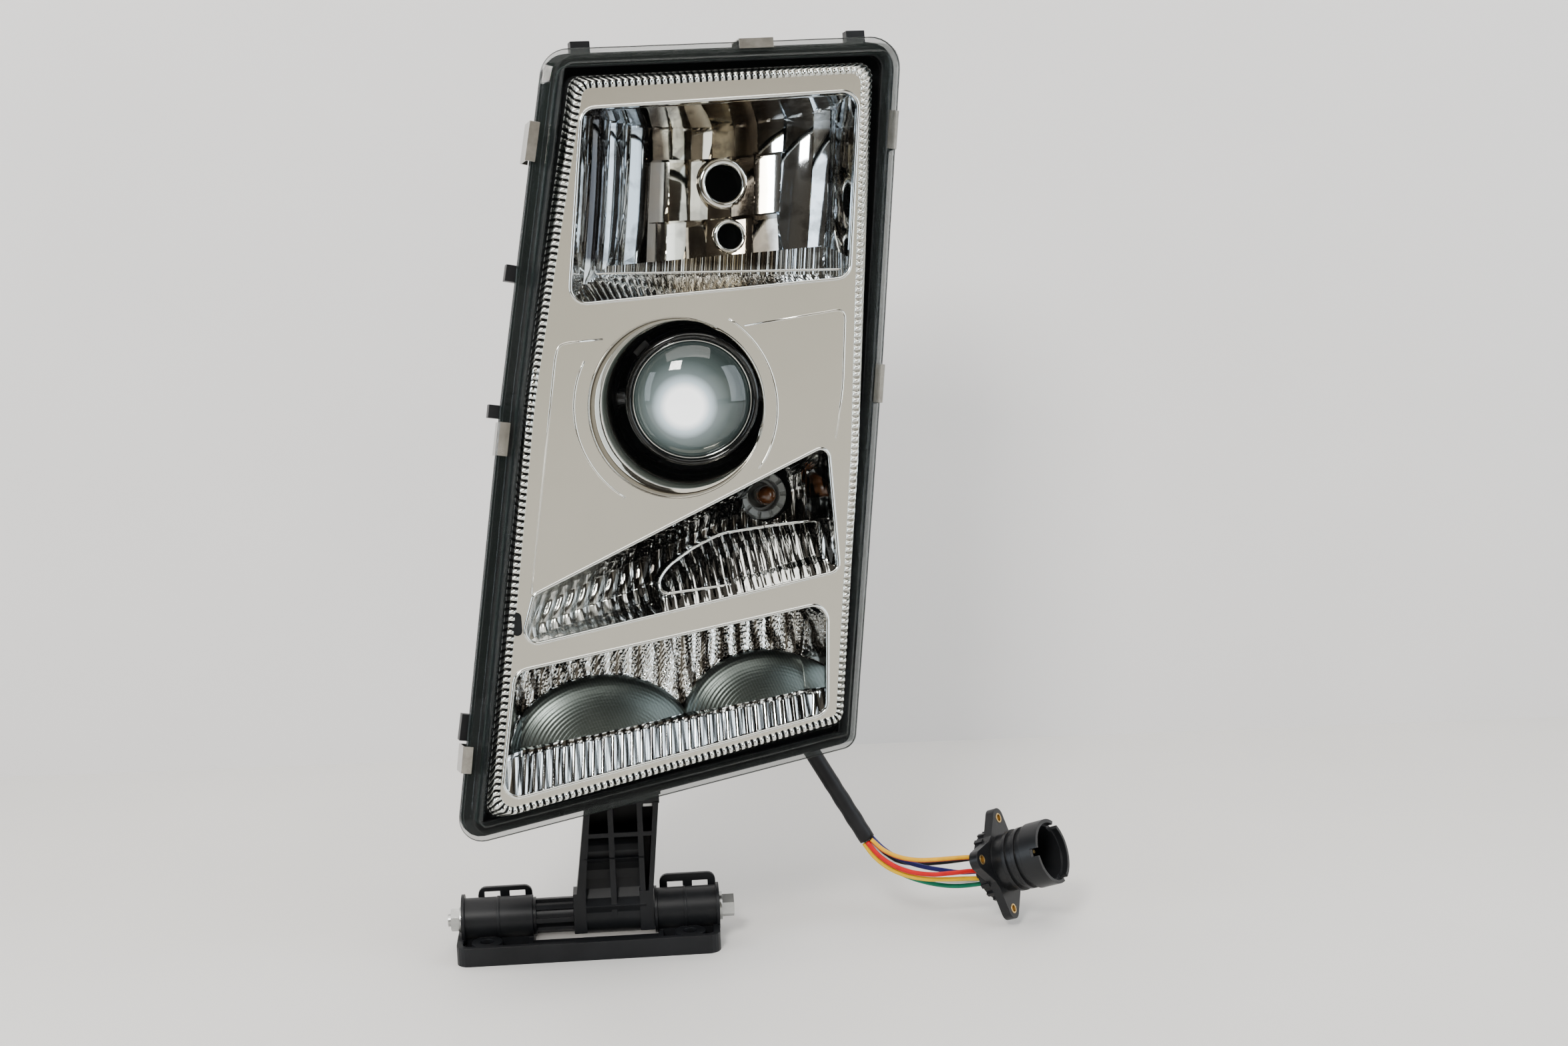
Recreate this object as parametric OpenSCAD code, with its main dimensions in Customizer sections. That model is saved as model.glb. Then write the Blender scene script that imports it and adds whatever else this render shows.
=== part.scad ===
// Tall slant-sided headlamp with a glass lens, on a bottom hinge bracket, with its lead and connector.
// Frame: origin at the middle of the bracket's underside, +X along the hinge bolt, lamp faces -Y, +Z up.

/* [Lamp attitude] */
// Lean of the glass, its top further back, in degrees
rake = 8; // [4:1:12]
// Turn of the glass about the vertical, its right side further back, in degrees
yaw = 12; // [8:1:16]
// Height of the glass's reference point above the underside of the bracket
face_z = 345; // [340:1:350]

/* [Glass and housing] */
// Depth of the glass's side wall, from its front face to the back of its flange
lens_depth = 26; // [22:1:30]
// Thickness of the glass
glass_t = 3.4; // [2.5:0.1:4]
// Width of the glass's flange
flange_w = 7; // [5:0.5:9]
// Wall thickness of the housing
wall = 2.8; // [2:0.1:4]
// Distance of the housing's upper back wall behind the glass face
upper_back = 125; // [120:1:135]
// Distance of the housing's lower back wall behind the glass face
lower_back = 85; // [82:1:90]

/* [Projector] */
// Radius of the projector's lens
lens_r = 35; // [32:0.5:36]
// Radius of the black ring around the projector's lens
ring_r = 40.8; // [40:0.1:42]
// Radius of the wide end of the chrome dish around the projector
dish_r = 54; // [52:0.5:56]
// Height of the levelling rod above the projector's pivot
rod_lift = 50; // [48:1:52]

/* [Bulb seats] */
// Radius of the main-beam bulb's hole
main_hole_r = 11.5; // [10:0.1:12.5]
// Radius of the position bulb's hole
position_hole_r = 7.6; // [6:0.1:8]
// Radius of the turn bulb's hole
turn_hole_r = 15.6; // [14:0.1:16.5]

/* [Hinge bracket] */
// Length of the bracket's base
base_l = 166; // [162:1:180]
// Depth of the bracket's base
base_d = 60; // [50:1:70]
// Height of the base's frame wall
base_h = 12; // [8:1:14]
// Height of the hinge axis above the underside
hinge_z = 21; // [20:0.5:23]
// Outer radius of the two hinge barrels
barrel_r = 13.5; // [12:0.5:14]
// Radius of the hinge bolt's shank
bolt_r = 4; // [4:1:4]
// Radius of the four fixing holes in the base
fix_hole_r = 4.5; // [4:0.1:5]

/* [Connector and lead] */
// Distance between opposite holes of the connector's flange
connector_pcd = 59.4; // [56:0.1:62]
// Outer radius of the connector's mouth
mouth_r = 21; // [20:0.5:22]
// Radius of the black sleeve over the wires
sleeve_r = 5.25; // [4.5:0.05:6]
// Radius of each wire
wire_r = 1.5; // [1:0.1:1.7]

/* [Hidden] */
$fn = 64;

// Corner lists are [across, up, corner radius] in the plane of the glass, anticlockwise.
lens_outline = [[157, 225.5, 18], [-70, 222.5, 18], [-111.5, 15, 600], [-158.5, -249.5, 14],
    [94, -214.5, 10], [129, 20, 600]];
bezel_outline = [[128, 204.5, 10], [-54, 200, 10], [-97.5, 14, 600], [-138.5, -232.5, 12],
    [82, -195.5, 8], [104, -30, 600]];
upper_opening = [[121, 189.5, 9], [-52, 184, 9], [-68, 69, 9], [106.5, 76.5, 9]];
turn_opening = [[85, -26, 5], [-102.5, -102, 5], [-112.5, -131.5, 7], [86.5, -103, 6]];
lower_opening = [[77.5, -122.5, 9], [-117, -146.5, 9], [-131, -222, 9], [72.5, -190, 9]];
turn_back = [[86, -22, 6], [22, -48, 6], [-92, -98, 5], [-102, -122, 5], [78, -97, 5]];
upper_front_box = [[150, 219.5, 14], [-64, 216.5, 14], [-114, -36, 10], [116, -36, 10]];
upper_back_box = [[128, 196, 16], [-42, 194, 16], [-72, -26, 12], [100, -26, 12]];
lower_front_box = [[118, -20, 10], [-112, -20, 10], [-151.5, -242.5, 12], [89, -208.5, 10]];
lower_back_box = [[102, -20, 10], [-96, -20, 10], [-132, -218, 12], [78, -188, 10]];

face_at = [78, -40, face_z];            // reference point on the glass
beam_at = [78.5, -20, 350.5];           // centre of the projector's lens
dish_at = [-7.6, 3.3];                  // centre of the dish's wide end, across and up
plug_at = [-114.6, -118];               // plug at the bezel's left edge
main_hole_at = [47, 143];
position_hole_at = [48, 109.5];
turn_hole_at = [53.5, -54.4];
projector_cover_at = [27.5, 23];
main_cover_at = [50, 127];
projector_cover_r = 40;                 // inner radius of each access collar
main_cover_r = 36;
seat_w = -30;                           // front of the housing's rim, which the seal lies on
bezel_w = -8;                           // front of the bezel
main_back_w = -74;
turn_back_w = -52;
lower_back_w = -38;
pivot_z = -21;                          // depths along the beam, from the projector's lens
rod_x = -46;
post_at = [-40, -36];
side_screw_at = [57, 27];
height_screw_at = [-59, -6];
running = 0.05;                         // radial clearance of a running fit
hinge_left = [-78, -35];                // spans of the hinge's pieces along X
hinge_right = [44, 82];
knuckle = [-9, 42];
pad_z = 101;                            // underside of the housing's pad, where the arm is bolted
pad_screws = [[-4, 4], [40.5, 4], [-4, 18], [40.5, 18]];
connector_at = [265.3, 4.8, 36];
connector_turn = [0, 69.5, -34];
connector_roll = -21;
gland_at = [136.4, 7, 136];             // where the lead leaves the housing
// The lead's route: the sleeve, then each wire from the sleeve's end to the connector's seal.
sleeve_route = [[136.4, 7, 136], [150, 4.8, 112.3], [165, 2.4, 86.1], [180, 0, 60]];
yellow_route = [[177.8, -1, 57.5], [184, -4, 49], [193, -6, 41.5], [204, -6, 36], [217, -5, 32.5],
    [231, -2, 30.5], [245, 0, 29.5], [262.6, 0.6, 28.5]];
red_route = [[179.5, -3, 58.7], [187, -6, 50], [197, -8, 43], [208, -8, 38.5], [221, -7, 36],
    [234, -5, 35.5], [246, -3, 35.5], [258.7, -1.6, 34.2]];
striped_route = [[182.2, -2.4, 60.1], [190, -4, 53], [200, -4, 47.8], [212, -3, 44.8], [225, -1, 43.8],
    [239, 1, 43.5], [249, 2, 43], [258, 2.5, 41.7]];
blue_route = [[183.1, 0.5, 60.6], [191, 1, 52], [202, 2, 44], [215, 3, 38.5], [229, 5, 34.5], [243, 7, 31.5],
    [264.9, 6.3, 32.3]];
black_route = [[181.9, 2.9, 59.4], [190, 5, 49], [201, 7, 41.5], [213, 9, 38.5], [227, 10, 38],
    [241, 11, 38.5], [264.5, 11.4, 40.7]];
green_route = [[179.3, 2.4, 57.9], [185, 4, 48], [194, 6, 39], [206, 7, 31], [220, 6, 26], [234, 5, 23.5],
    [248, 6, 23], [266.3, 4.1, 25.7]];
white_route = [[180.5, 0, 59], [187.5, 0.5, 49.5], [197.5, 0.5, 41.5], [210, 0.5, 35], [224, 2.5, 29.5],
    [238, 5, 26.5], [252, 8, 26], [269.1, 9.5, 27.6]];

function xy(p) = [p[0], p[1]];
function unit(v) = v / norm(v);
function turned(a) = a > 180 ? a - 360 : a < -180 ? a + 360 : a;
// Points of a round corner of radius r at b, between the neighbours a and c.
function corner(a, b, c, r, n) =
    let (u = unit(a - b), v = unit(c - b), half = acos(u * v) / 2,
        m = b + unit(u + v) * r / sin(half), s = b + u * r / tan(half), e = b + v * r / tan(half),
        from = atan2(s[1] - m[1], s[0] - m[0]), sweep = turned(atan2(e[1] - m[1], e[0] - m[0]) - from))
    [for (i = [0:n]) m + r * [cos(from + sweep * i / n), sin(from + sweep * i / n)]];
function rounded(p, n = 5) =
    let (k = len(p))
    [for (i = [0:k - 1]) each corner(xy(p[(i + k - 1) % k]), xy(p[i]), xy(p[(i + 1) % k]), p[i][2], n)];
function inward(a, b) = unit([a[1] - b[1], b[0] - a[0]]);
// A corner list moved inwards by d on every side.
function inset(p, d) =
    let (k = len(p))
    [for (i = [0:k - 1])
        let (b = xy(p[i]), n1 = inward(xy(p[(i + k - 1) % k]), b), n2 = inward(b, xy(p[(i + 1) % k])),
            q = b + (n1 + n2) * d / (1 + n1 * n2))
        [q[0], q[1], p[i][2] > 100 ? p[i][2] : max(p[i][2] - d, 1)]];

module at_face() translate(face_at) rotate([90 - rake, 0, yaw]) children();
module at_beam() translate(beam_at) rotate([90, 0, 0]) children();
module at_connector() translate(connector_at) rotate(connector_turn) rotate(connector_roll) children();
// Flat plate of a corner list between two depths.
module slab(p, w0, w1) translate([0, 0, w0]) linear_extrude(w1 - w0) polygon(rounded(p));
module along_x(x0, x1, r) translate([x0, 0, hinge_z]) rotate([0, 90, 0]) cylinder(h = x1 - x0, r = r);
module disc(at, w0, w1, r) translate([at[0], at[1], w0]) cylinder(h = w1 - w0, r = r);
module tube(at, w0, w1, outer, inner) difference() {
    disc(at, w0, w1, outer);
    disc(at, w0 - 1, w1 + 1, inner);
}
// Part of a ring, with its middle at the angle a.
module sector(w0, w1, inner, outer, a, width) translate([0, 0, w0])
    rotate(a - width / 2) rotate_extrude(angle = width) translate([inner, 0])
        square([outer - inner, w1 - w0]);
// Round tube of radius r through the points p.
module sweep(p, r, sides) {
    k = len(p);
    dir = [for (i = [0:k - 1]) unit(p[min(i + 1, k - 1)] - p[max(i - 1, 0)])];
    points = [for (i = [0:k - 1])
        let (s = unit(cross(dir[i], [0, 1, 0])), t = cross(s, dir[i]))
        for (j = [0:sides - 1]) p[i] + r * (s * cos(j * 360 / sides) + t * sin(j * 360 / sides))];
    rings = [for (i = [0:k - 2]) for (j = [0:sides - 1])
        let (n = (j + 1) % sides)
        each [[i * sides + j, i * sides + n, (i + 1) * sides + n],
            [i * sides + j, (i + 1) * sides + n, (i + 1) * sides + j]]];
    ends = [[for (j = [sides - 1:-1:0]) j], [for (j = [0:sides - 1]) (k - 1) * sides + j]];
    polyhedron(points, concat(rings, ends));
}

// ---- Hinge bracket ----

fix_holes = [[-64, -18], [64, -18], [-64, 18], [64, 18]];
module barrel(span) {
    along_x(span[0], span[1], barrel_r);
    translate([span[0], -9, 0]) cube([span[1] - span[0], 18, hinge_z]);
}
module upstand(x0, x1, top) translate([0, 13.3, 0]) rotate([90, 0, 0])
    linear_extrude(3) polygon(rounded([[x1, top, 5], [x0, top, 5], [x0, 1, 1], [x1, 1, 1]]));
module base_bracket() color("#222326") difference() {
    x0 = -base_l / 2;
    x1 = base_l / 2;
    d = base_d / 2;
    union() {
        difference() {
            slab([[x1, d, 8], [x0, d, 8], [x0, -d, 8], [x1, -d, 8]], 0, base_h);
            slab(inset([[x1, d, 9], [x0, d, 9], [x0, -d, 9], [x1, -d, 9]], 4), -1, base_h + 1);
        }
        for (x = [-38, 44]) translate([x, 1 - d, 0]) cube([3, base_d - 2, base_h - 2]);
        for (x = [-64, 64], y = [-d + 1, 8]) translate([x - 1.5, y, 0]) cube([3, d - 9, base_h - 2]);
        for (p = fix_holes) disc(p, 0, base_h, 9.6);
        barrel(hinge_left);
        barrel(hinge_right);
        along_x(hinge_left[0] - 2, hinge_left[0], 16);
        along_x(hinge_right[1] - 0.5, hinge_right[1] + 1.5, 15);
        for (x = [-57.5, 61]) along_x(x, x + 1.5, barrel_r + 0.5);
        upstand(-70, -35.5, 38);
        upstand(46, 82, 40);
        for (x = [-69, -53, -38, 48, 64, 79]) translate([x, 4, 2]) cube([3, 8, 29]);
        // Inner rail between the barrels, in front of the hinge
        translate([-37, 3 - d, 0]) cube([83, d - 16.5, base_h - 2.5]);
    }
    along_x(hinge_left[0] - 3, hinge_right[1] + 3, bolt_r + running);
    for (p = fix_holes) disc(p, -1, base_h + 1, fix_hole_r);
    for (x = [-62, -46, 55, 71]) translate([x - 4, 9.5, 29]) cube([10, 6, 6.2]);
}
module spacer_bush() color("#1c1d20") difference() {
    union() {
        along_x(hinge_left[1] + 0.1, knuckle[0] - 0.2, 9.5);
        along_x(hinge_left[1] + 0.1, hinge_left[1] + 2, 12);
        for (a = [0:45:315]) translate([hinge_left[1] + 0.1, 0, hinge_z]) rotate([a, 0, 0])
            translate([0, -1.6, 5]) cube([knuckle[0] - hinge_left[1] - 0.3, 3.2, 6.2]);
    }
    along_x(hinge_left[1] - 1, knuckle[0] + 1, bolt_r + running);
}
module thrust_washer() color("#303236") difference() {
    along_x(knuckle[1] + 0.2, hinge_right[0] - 0.1, 15);
    along_x(knuckle[1], hinge_right[0], bolt_r + running);
}
module hinge_bolt() color("silver") {
    end = hinge_right[1] + 1.6;
    along_x(-89, end + 1, bolt_r);
    along_x(end, end + 1.8, 9);
    translate([end + 1.8, 0, hinge_z]) rotate([0, 90, 0]) difference() {
        cylinder(h = 7.6, r = 13 / sqrt(3), $fn = 6);
        translate([0, 0, 6.4]) cylinder(h = 2, r = 4.6);
    }
}
module nut_washer() color("silver") difference() {
    along_x(-81.5, -80.1, 8);
    along_x(-82, -80, bolt_r + running);
}
module hinge_nut() color("silver") difference() {
    translate([-87, 0, hinge_z]) rotate([0, 90, 0]) cylinder(h = 5.4, r = 13 / sqrt(3), $fn = 6);
    along_x(-90, -81, bolt_r + running);
}

// ---- Connector, its frame's +Z out of the mouth and the flange at 0 ----

connector_angles = [0, 90, 180, 270];
module connector_shell() color("#191a1c") at_connector() difference() {
    union() {
        for (a = connector_angles) rotate(a) {
            disc([connector_pcd / 2, 0], 0, 6, 6.5);
            linear_extrude(6) polygon([[8, -17.5], [connector_pcd / 2 + 2, -6.2],
                [connector_pcd / 2 + 2, 6.2], [8, 17.5]]);
        }
        disc([0, 0], -5, 6, 21.5);
        disc([0, 0], 6, 33, 18.4);
        for (w = [14, 21]) disc([0, 0], w, w + 2.4, 20);
        disc([0, 0], 28, 41, mouth_r);
        for (a = [10:20:350]) rotate(a) translate([20.5, -1.4, -5]) cube([2.4, 2.8, 6]);
    }
    disc([0, 0], 14, 42, 17.4);
    disc([0, 0], 37, 42, 18.6);
    disc([0, 0], -6, 12, 15.6);
    disc([0, 0], 11, 15, 13);
    for (a = connector_angles) rotate(a) disc([connector_pcd / 2, 0], -1, 7, 3.1);
    for (a = [35, 155, 275]) rotate(a) translate([16, -2.5, 36]) cube([8, 5, 6]);
}
module connector_bushes() color("goldenrod") at_connector() for (a = connector_angles) rotate(a)
    tube([connector_pcd / 2, 0], 0, 6.2, 3.1, 2.2);
module connector_insert() color("#26272a") at_connector() disc([0, 0], 6, 11.9, 15.5);
pin_places = concat([[0, 0]], [for (a = [0:60:300]) [8 * cos(a), 8 * sin(a)]]);
module connector_contacts() color("gold") at_connector() for (p = pin_places) disc(p, 12, 24, 1.25);
module connector_seal() color("#6b3d2e") at_connector() disc([0, 0], -3, 5.9, 15.5);

// ---- Wires and sleeve ----

module wire_yellow() color("gold") sweep(yellow_route, wire_r, 8);
module wire_red() color("red") sweep(red_route, wire_r, 8);
module wire_striped() color("orange") sweep(striped_route, wire_r, 8);
module wire_blue() color("navy") sweep(blue_route, wire_r, 8);
module wire_black() color("black") sweep(black_route, wire_r, 8);
module wire_green() color("green") sweep(green_route, wire_r, 8);
module wire_white() color("white") sweep(white_route, wire_r, 8);
module harness_sleeve() color("#151515") sweep(sleeve_route, sleeve_r, 12);
lead_dir = unit(sleeve_route[3] - sleeve_route[0]);
module at_gland() translate(gland_at) rotate([0, acos(lead_dir[2]), atan2(lead_dir[1], lead_dir[0])])
    children();
module cable_gland() color("#1a1a1a") at_gland() difference() {
    union() {
        disc([0, 0], -8, 9, 8.5);
        disc([0, 0], 5, 8, 12.5);
        disc([0, 0], 9, 15, 7.2);
    }
    disc([0, 0], -9, 16, sleeve_r);
}

// ---- Arm ----

module rib(x, w, front, top) translate([x, 0, 0]) rotate([90, 0, 90]) linear_extrude(w)
    polygon([[front, hinge_z], [front, top], [12, top], [12, hinge_z]]);
module hinge_arm() color("#1f2023") difference() {
    union() {
        along_x(knuckle[0], knuckle[1], 13);
        for (x = [-9, 33]) translate([x, -13.5, hinge_z - 9]) cube([x < 0 ? 8 : 9, 16, 26]);
        // Sloping side cheek, back plate, ribs and the curved webs between them
        translate([0, 12, 0]) rotate([90, 0, 0]) linear_extrude(4)
            polygon([[-9, hinge_z], [42, hinge_z], [42, hinge_z + 18], [47, pad_z - 5],
                [1, pad_z - 5], [-5, 50]]);
        translate([0, 12, 0]) rotate([90, 0, 0]) linear_extrude(25.5)
            polygon([[-9, hinge_z], [-1, hinge_z + 17], [4.5, pad_z - 5], [1, pad_z - 5], [-5, 50]]);
        translate([0, 12, 0]) rotate([90, 0, 0]) linear_extrude(25.5)
            polygon([[39, hinge_z], [42, hinge_z], [42, hinge_z + 18], [47.5, pad_z - 5],
                [44, pad_z - 5], [39, hinge_z + 18]]);
        rib(15, 3.5, -13, pad_z - 5);
        rib(33.5, 3.5, -13, pad_z - 5);
        translate([-1, 0, 0]) rotate([90, 0, 90]) linear_extrude(38) polygon(concat(
            [[12, hinge_z], [-11, hinge_z]],
            [for (a = [-60:20:60]) [-11 - 12 + 18 * cos(a), 45 + 18 * sin(a)]],
            [for (a = [200:-25:100]) [-2 + 9 * cos(a), 64 + 9 * sin(a)]], [[12, 73]]));
        translate([0, -13, 74]) cube([44, 25, 3]);
        translate([-9, -13, pad_z - 6]) cube([57, 38, 6]);
    }
    along_x(knuckle[0] - 1, knuckle[1] + 1, 7);
    for (p = pad_screws) disc(p, 80, pad_z + 1, 3.3);
}
module arm_bush() color("silver") difference() {
    along_x(knuckle[0], knuckle[1], 7);
    along_x(knuckle[0] - 1, knuckle[1] + 1, bolt_r + running);
}
module arm_screws() color("silver") for (p = pad_screws) {
    disc(p, pad_z - 7, pad_z + 7, 3);
    disc(p, pad_z - 7.5, pad_z - 6, 6.5);
    translate([p[0], p[1], pad_z - 11.4]) cylinder(h = 4, r = 10 / sqrt(3), $fn = 6);
}

// ---- Housing and glass ----

module cap_hooks(at, r, back) translate([at[0], at[1], 0]) {
    tube([0, 0], back - 8, back + 1, r + 4, r);
    for (a = [90, 210, 330]) {
        sector(back - 17, back + 1, r + 12, r + 15, a, 26);
        sector(back - 17, back - 14, r + 8, r + 15, a, 26);
    }
}
edge_tabs = [[-46, 226, 12, 0], [129, 228.5, 12, 0], [-99.5, 91, 10, 78], [-116.1, 9, 8, 80],
    [-147.3, -178.5, 16, 79]];
module housing() color("#1b1c1f") difference() {
    union() {
        at_face() {
            difference() {
                slab(inset(lens_outline, 2), seat_w - 8, seat_w);
                slab(inset(lens_outline, 12), seat_w - 9, seat_w + 1);
            }
            for (t = edge_tabs) translate([t[0], t[1], seat_w - 8]) rotate(t[3])
                translate([-t[2] / 2, -9, 0]) cube([t[2], 11, 8]);
            hull() {
                slab(upper_front_box, -36, -35);
                slab(upper_back_box, -upper_back, 1 - upper_back);
            }
            hull() {
                slab(lower_front_box, -36, -35);
                slab(lower_back_box, -lower_back, 1 - lower_back);
            }
            cap_hooks(projector_cover_at, projector_cover_r, -upper_back);
            cap_hooks(main_cover_at, main_cover_r, -upper_back);
        }
        translate([-11, -14, pad_z]) cube([60, 40, 30]);
    }
    at_face() {
        hull() {
            slab(inset(upper_front_box, wall), -35.5, -20);
            slab(inset(upper_back_box, wall), wall - upper_back, wall + 1 - upper_back);
        }
        hull() {
            slab(inset(lower_front_box, wall), -35.5, -20);
            slab(inset(lower_back_box, wall), wall - lower_back, wall + 1 - lower_back);
        }
        disc(projector_cover_at, -upper_back - 9, -upper_back + 9, projector_cover_r);
        disc(main_cover_at, -upper_back - 9, -upper_back + 9, main_cover_r);
        disc(turn_hole_at, -lower_back - 9, -lower_back + 9, turn_hole_r + 1.4);
    }
    at_gland() disc([0, 0], -12, 5, 8.5);
    for (p = pad_screws) disc(p, pad_z - 1, pad_z + 7.5, 3);
    at_beam() {
        for (p = [side_screw_at, height_screw_at]) disc(p, -130, -85, 4.1);
        disc([rod_x, rod_lift], -120, -104, 9.3);
    }
}
module lens_seal() color("#141414") at_face() difference() {
    slab(inset(lens_outline, 3), seat_w, -lens_depth);
    slab(inset(lens_outline, 11), seat_w - 1, 1 - lens_depth);
}
module lens() color([0.8, 0.9, 0.88, 0.35]) at_face() difference() {
    union() {
        slab(lens_outline, -lens_depth, 4 - lens_depth);
        hull() {
            slab(inset(lens_outline, flange_w), -lens_depth, -6);
            slab(inset(lens_outline, flange_w + 4), -6, -0.5);
            slab(inset(lens_outline, 55), 3, 3.6);
        }
    }
    hull() {
        slab(inset(lens_outline, flange_w + glass_t), -lens_depth - 1, -8);
        slab(inset(lens_outline, flange_w + 4 + glass_t), -8, -glass_t - 0.5);
        slab(inset(lens_outline, 58), -1, 3.6 - glass_t);
    }
}
clips = [[62, 223.8, 22, 0.8], [-81.8, 168, 24, 78], [-112.6, -8, 20, 79.6], [-149, -197, 16, 80.8],
    [147.2, 167, 24, 261.6], [126.5, 10, 24, 261.6]];
module lens_clips() color("silver") at_face() for (c = clips) translate([c[0], c[1], 0]) rotate(c[3])
    translate([-c[2] / 2, 0, 0]) rotate([90, 0, 90]) linear_extrude(c[2])
        polygon([[-4, 4.2 - lens_depth], [1.4, 4.2 - lens_depth], [1.4, seat_w - 8.2], [-2.4, seat_w - 8.2],
            [-2.4, seat_w - 9], [2.2, seat_w - 9], [2.2, 5 - lens_depth], [-4, 5 - lens_depth]]);

// ---- Bezel and reflectors ----

// Oval of half-widths w and h round the plug's place.
module plug_oval(w, h, w0, w1) translate([plug_at[0], plug_at[1], 0])
    slab([[w, h, w * 0.97], [-w, h, w * 0.97], [-w, -h, w * 0.97], [w, -h, w * 0.97]], w0, w1);
module bezel() color("#d9d9d6") at_face() difference() {
    union() {
        slab(bezel_outline, bezel_w - 2.5, bezel_w);
        difference() {
            slab(bezel_outline, seat_w, bezel_w - 1);
            slab(inset(bezel_outline, 2.5), seat_w - 1, bezel_w);
        }
    }
    for (p = [upper_opening, turn_opening, lower_opening]) slab(p, bezel_w - 4, bezel_w + 1);
    disc(dish_at, bezel_w - 4, bezel_w + 1, dish_r);
    plug_oval(2.22, 6.02, bezel_w - 4, bezel_w + 1);
}
module bezel_plug() color("#3a3a3a") at_face() {
    plug_oval(2.2, 6, bezel_w - 2.4, bezel_w + 0.5);
    plug_oval(3, 7, bezel_w + 0.01, bezel_w + 1);
}
// Open tub from the front corner list to the back one.
module tub(front, back, back_w) difference() {
    hull() {
        slab(inset(front, -2.2), bezel_w - 4, bezel_w - 2.6);
        slab(inset(back, -2.2), back_w - 2, back_w - 1);
    }
    hull() {
        slab(front, bezel_w - 4, bezel_w - 1);
        slab(back, back_w, back_w + 1);
    }
}
module main_reflector() color("#cfd2d4") at_face() difference() {
    union() {
        tub(upper_opening, inset(upper_opening, 14), main_back_w);
        disc(main_hole_at, main_back_w - 8, main_back_w - 1, main_hole_r + 3.5);
        disc(position_hole_at, main_back_w - 8, main_back_w - 1, position_hole_r + 3);
        tube(main_hole_at, main_back_w - 1, main_back_w + 3, main_hole_r + 4.5, main_hole_r);
        tube(position_hole_at, main_back_w - 1, main_back_w + 3, position_hole_r + 2.6, position_hole_r);
    }
    disc(main_hole_at, main_back_w - 9, main_back_w + 4, main_hole_r);
    disc(position_hole_at, main_back_w - 9, main_back_w + 4, position_hole_r);
}
module turn_reflector() color("#cfd2d4") at_face() difference() {
    tub(turn_opening, turn_back, turn_back_w);
    disc(turn_hole_at, turn_back_w - 4, turn_back_w + 1, turn_hole_r);
}
module lower_reflector() color("#cfd2d4") at_face() {
    tub(lower_opening, inset(lower_opening, 8), lower_back_w);
    intersection() {
        slab(inset(lower_opening, 9), lower_back_w - 1, -14);
        for (x = [-62, 30]) translate([x, -200 + x / 12, -90]) sphere(r = 70);
    }
}
module projector_dish() color("#cfd2d4") difference() {
    hull() {
        at_face() disc(dish_at, bezel_w - 3.6, bezel_w - 2.6, dish_r + 1.8);
        at_beam() disc([0, 0], -9, -8, ring_r + 5);
    }
    hull() {
        at_face() disc(dish_at, bezel_w - 3.7, bezel_w - 2.5, dish_r);
        at_beam() disc([0, 0], -9.1, -8, ring_r + 3);
    }
}

// ---- Projector, in the beam's frame: +Z forward along the beam ----

module projector_frame() color("#2b2c30") at_beam() difference() {
    union() {
        tube([0, 0], -16, -11, 56, 49.5);
        for (x = [-53.5, 49.5]) translate([x, -7, -28]) cube([4, 14, 17]);
        disc(post_at, -19, -8, 8.6);
        for (p = [side_screw_at, height_screw_at]) disc(p, -16, -12.6, 8);
        translate([48, 15, -16]) cube([9, 10, 5]);
    }
    disc([0, 0], -20, -5, 49.5);
    translate([-60, 0, pivot_z]) rotate([0, 90, 0]) cylinder(h = 120, r = 3);
    translate([post_at[0], post_at[1], -13.5]) sphere(r = 5.3);
    disc(post_at, -20, -13.5, 4.7);
    // Upright relief of the socket, which lets it spring over the ball
    translate([post_at[0], post_at[1] - 10, -13.5]) rotate([-90, 0, 0]) cylinder(h = 20, r = 1.6);
    for (p = [side_screw_at, height_screw_at]) disc(p, -20, -8, 3.6);
}
module pivot_pins() color("silver") at_beam() for (x = [-53.5, 41]) translate([x, 0, pivot_z])
    rotate([0, 90, 0]) cylinder(h = 12.5, r = 3);
module pivot_post() color("#2b2c30") at_beam() {
    disc(post_at, -106, -13.5, 3.6);
    translate([post_at[0], post_at[1], -13.5]) sphere(r = 5);
}
module lens_holder() color("#8f9296") at_beam() difference() {
    union() {
        disc([0, 0], -31, -8, 40);
        translate([-48.5, 0, pivot_z]) rotate([0, 90, 0]) cylinder(h = 97, r = 5.6);
        hull() {
            disc([-26, 26], -30, -21, 5);
            disc([rod_x, rod_lift], -30, -21, 6.5);
        }
        disc([rod_x, rod_lift], -26, -16, 6.5);
    }
    disc([0, 0], -32, -7, 37);
    translate([-60, 0, pivot_z]) rotate([0, 90, 0]) cylinder(h = 120, r = 3 + running);
    translate([rod_x, rod_lift, pivot_z]) sphere(r = 4.4);
    disc([rod_x, rod_lift], -31, pivot_z, 4.1);
}
module projector_lens() color([0.85, 0.92, 0.95, 0.4]) at_beam() {
    disc([0, 0], -3, 0.5, lens_r);
    intersection() {
        disc([0, 0], 0.4, 20, lens_r - 1.5);
        translate([0, 0, 0.5 + 13 - 50]) sphere(r = 50);
    }
}
module lens_ring() color("#101010") at_beam() difference() {
    union() {
        disc([0, 0], -8, 0, 40);
        disc([0, 0], -4, 3.5, ring_r);
    }
    disc([0, 0], -9, 0.6, lens_r + 0.1);
    disc([0, 0], 0, 4, lens_r - 1.2);
}
module shutter() color("#55585c") at_beam() difference() {
    disc([0, 0], -30.8, -29.3, 36.9);
    translate([-40, 0, -32]) cube([80, 40, 4]);
}
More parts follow.
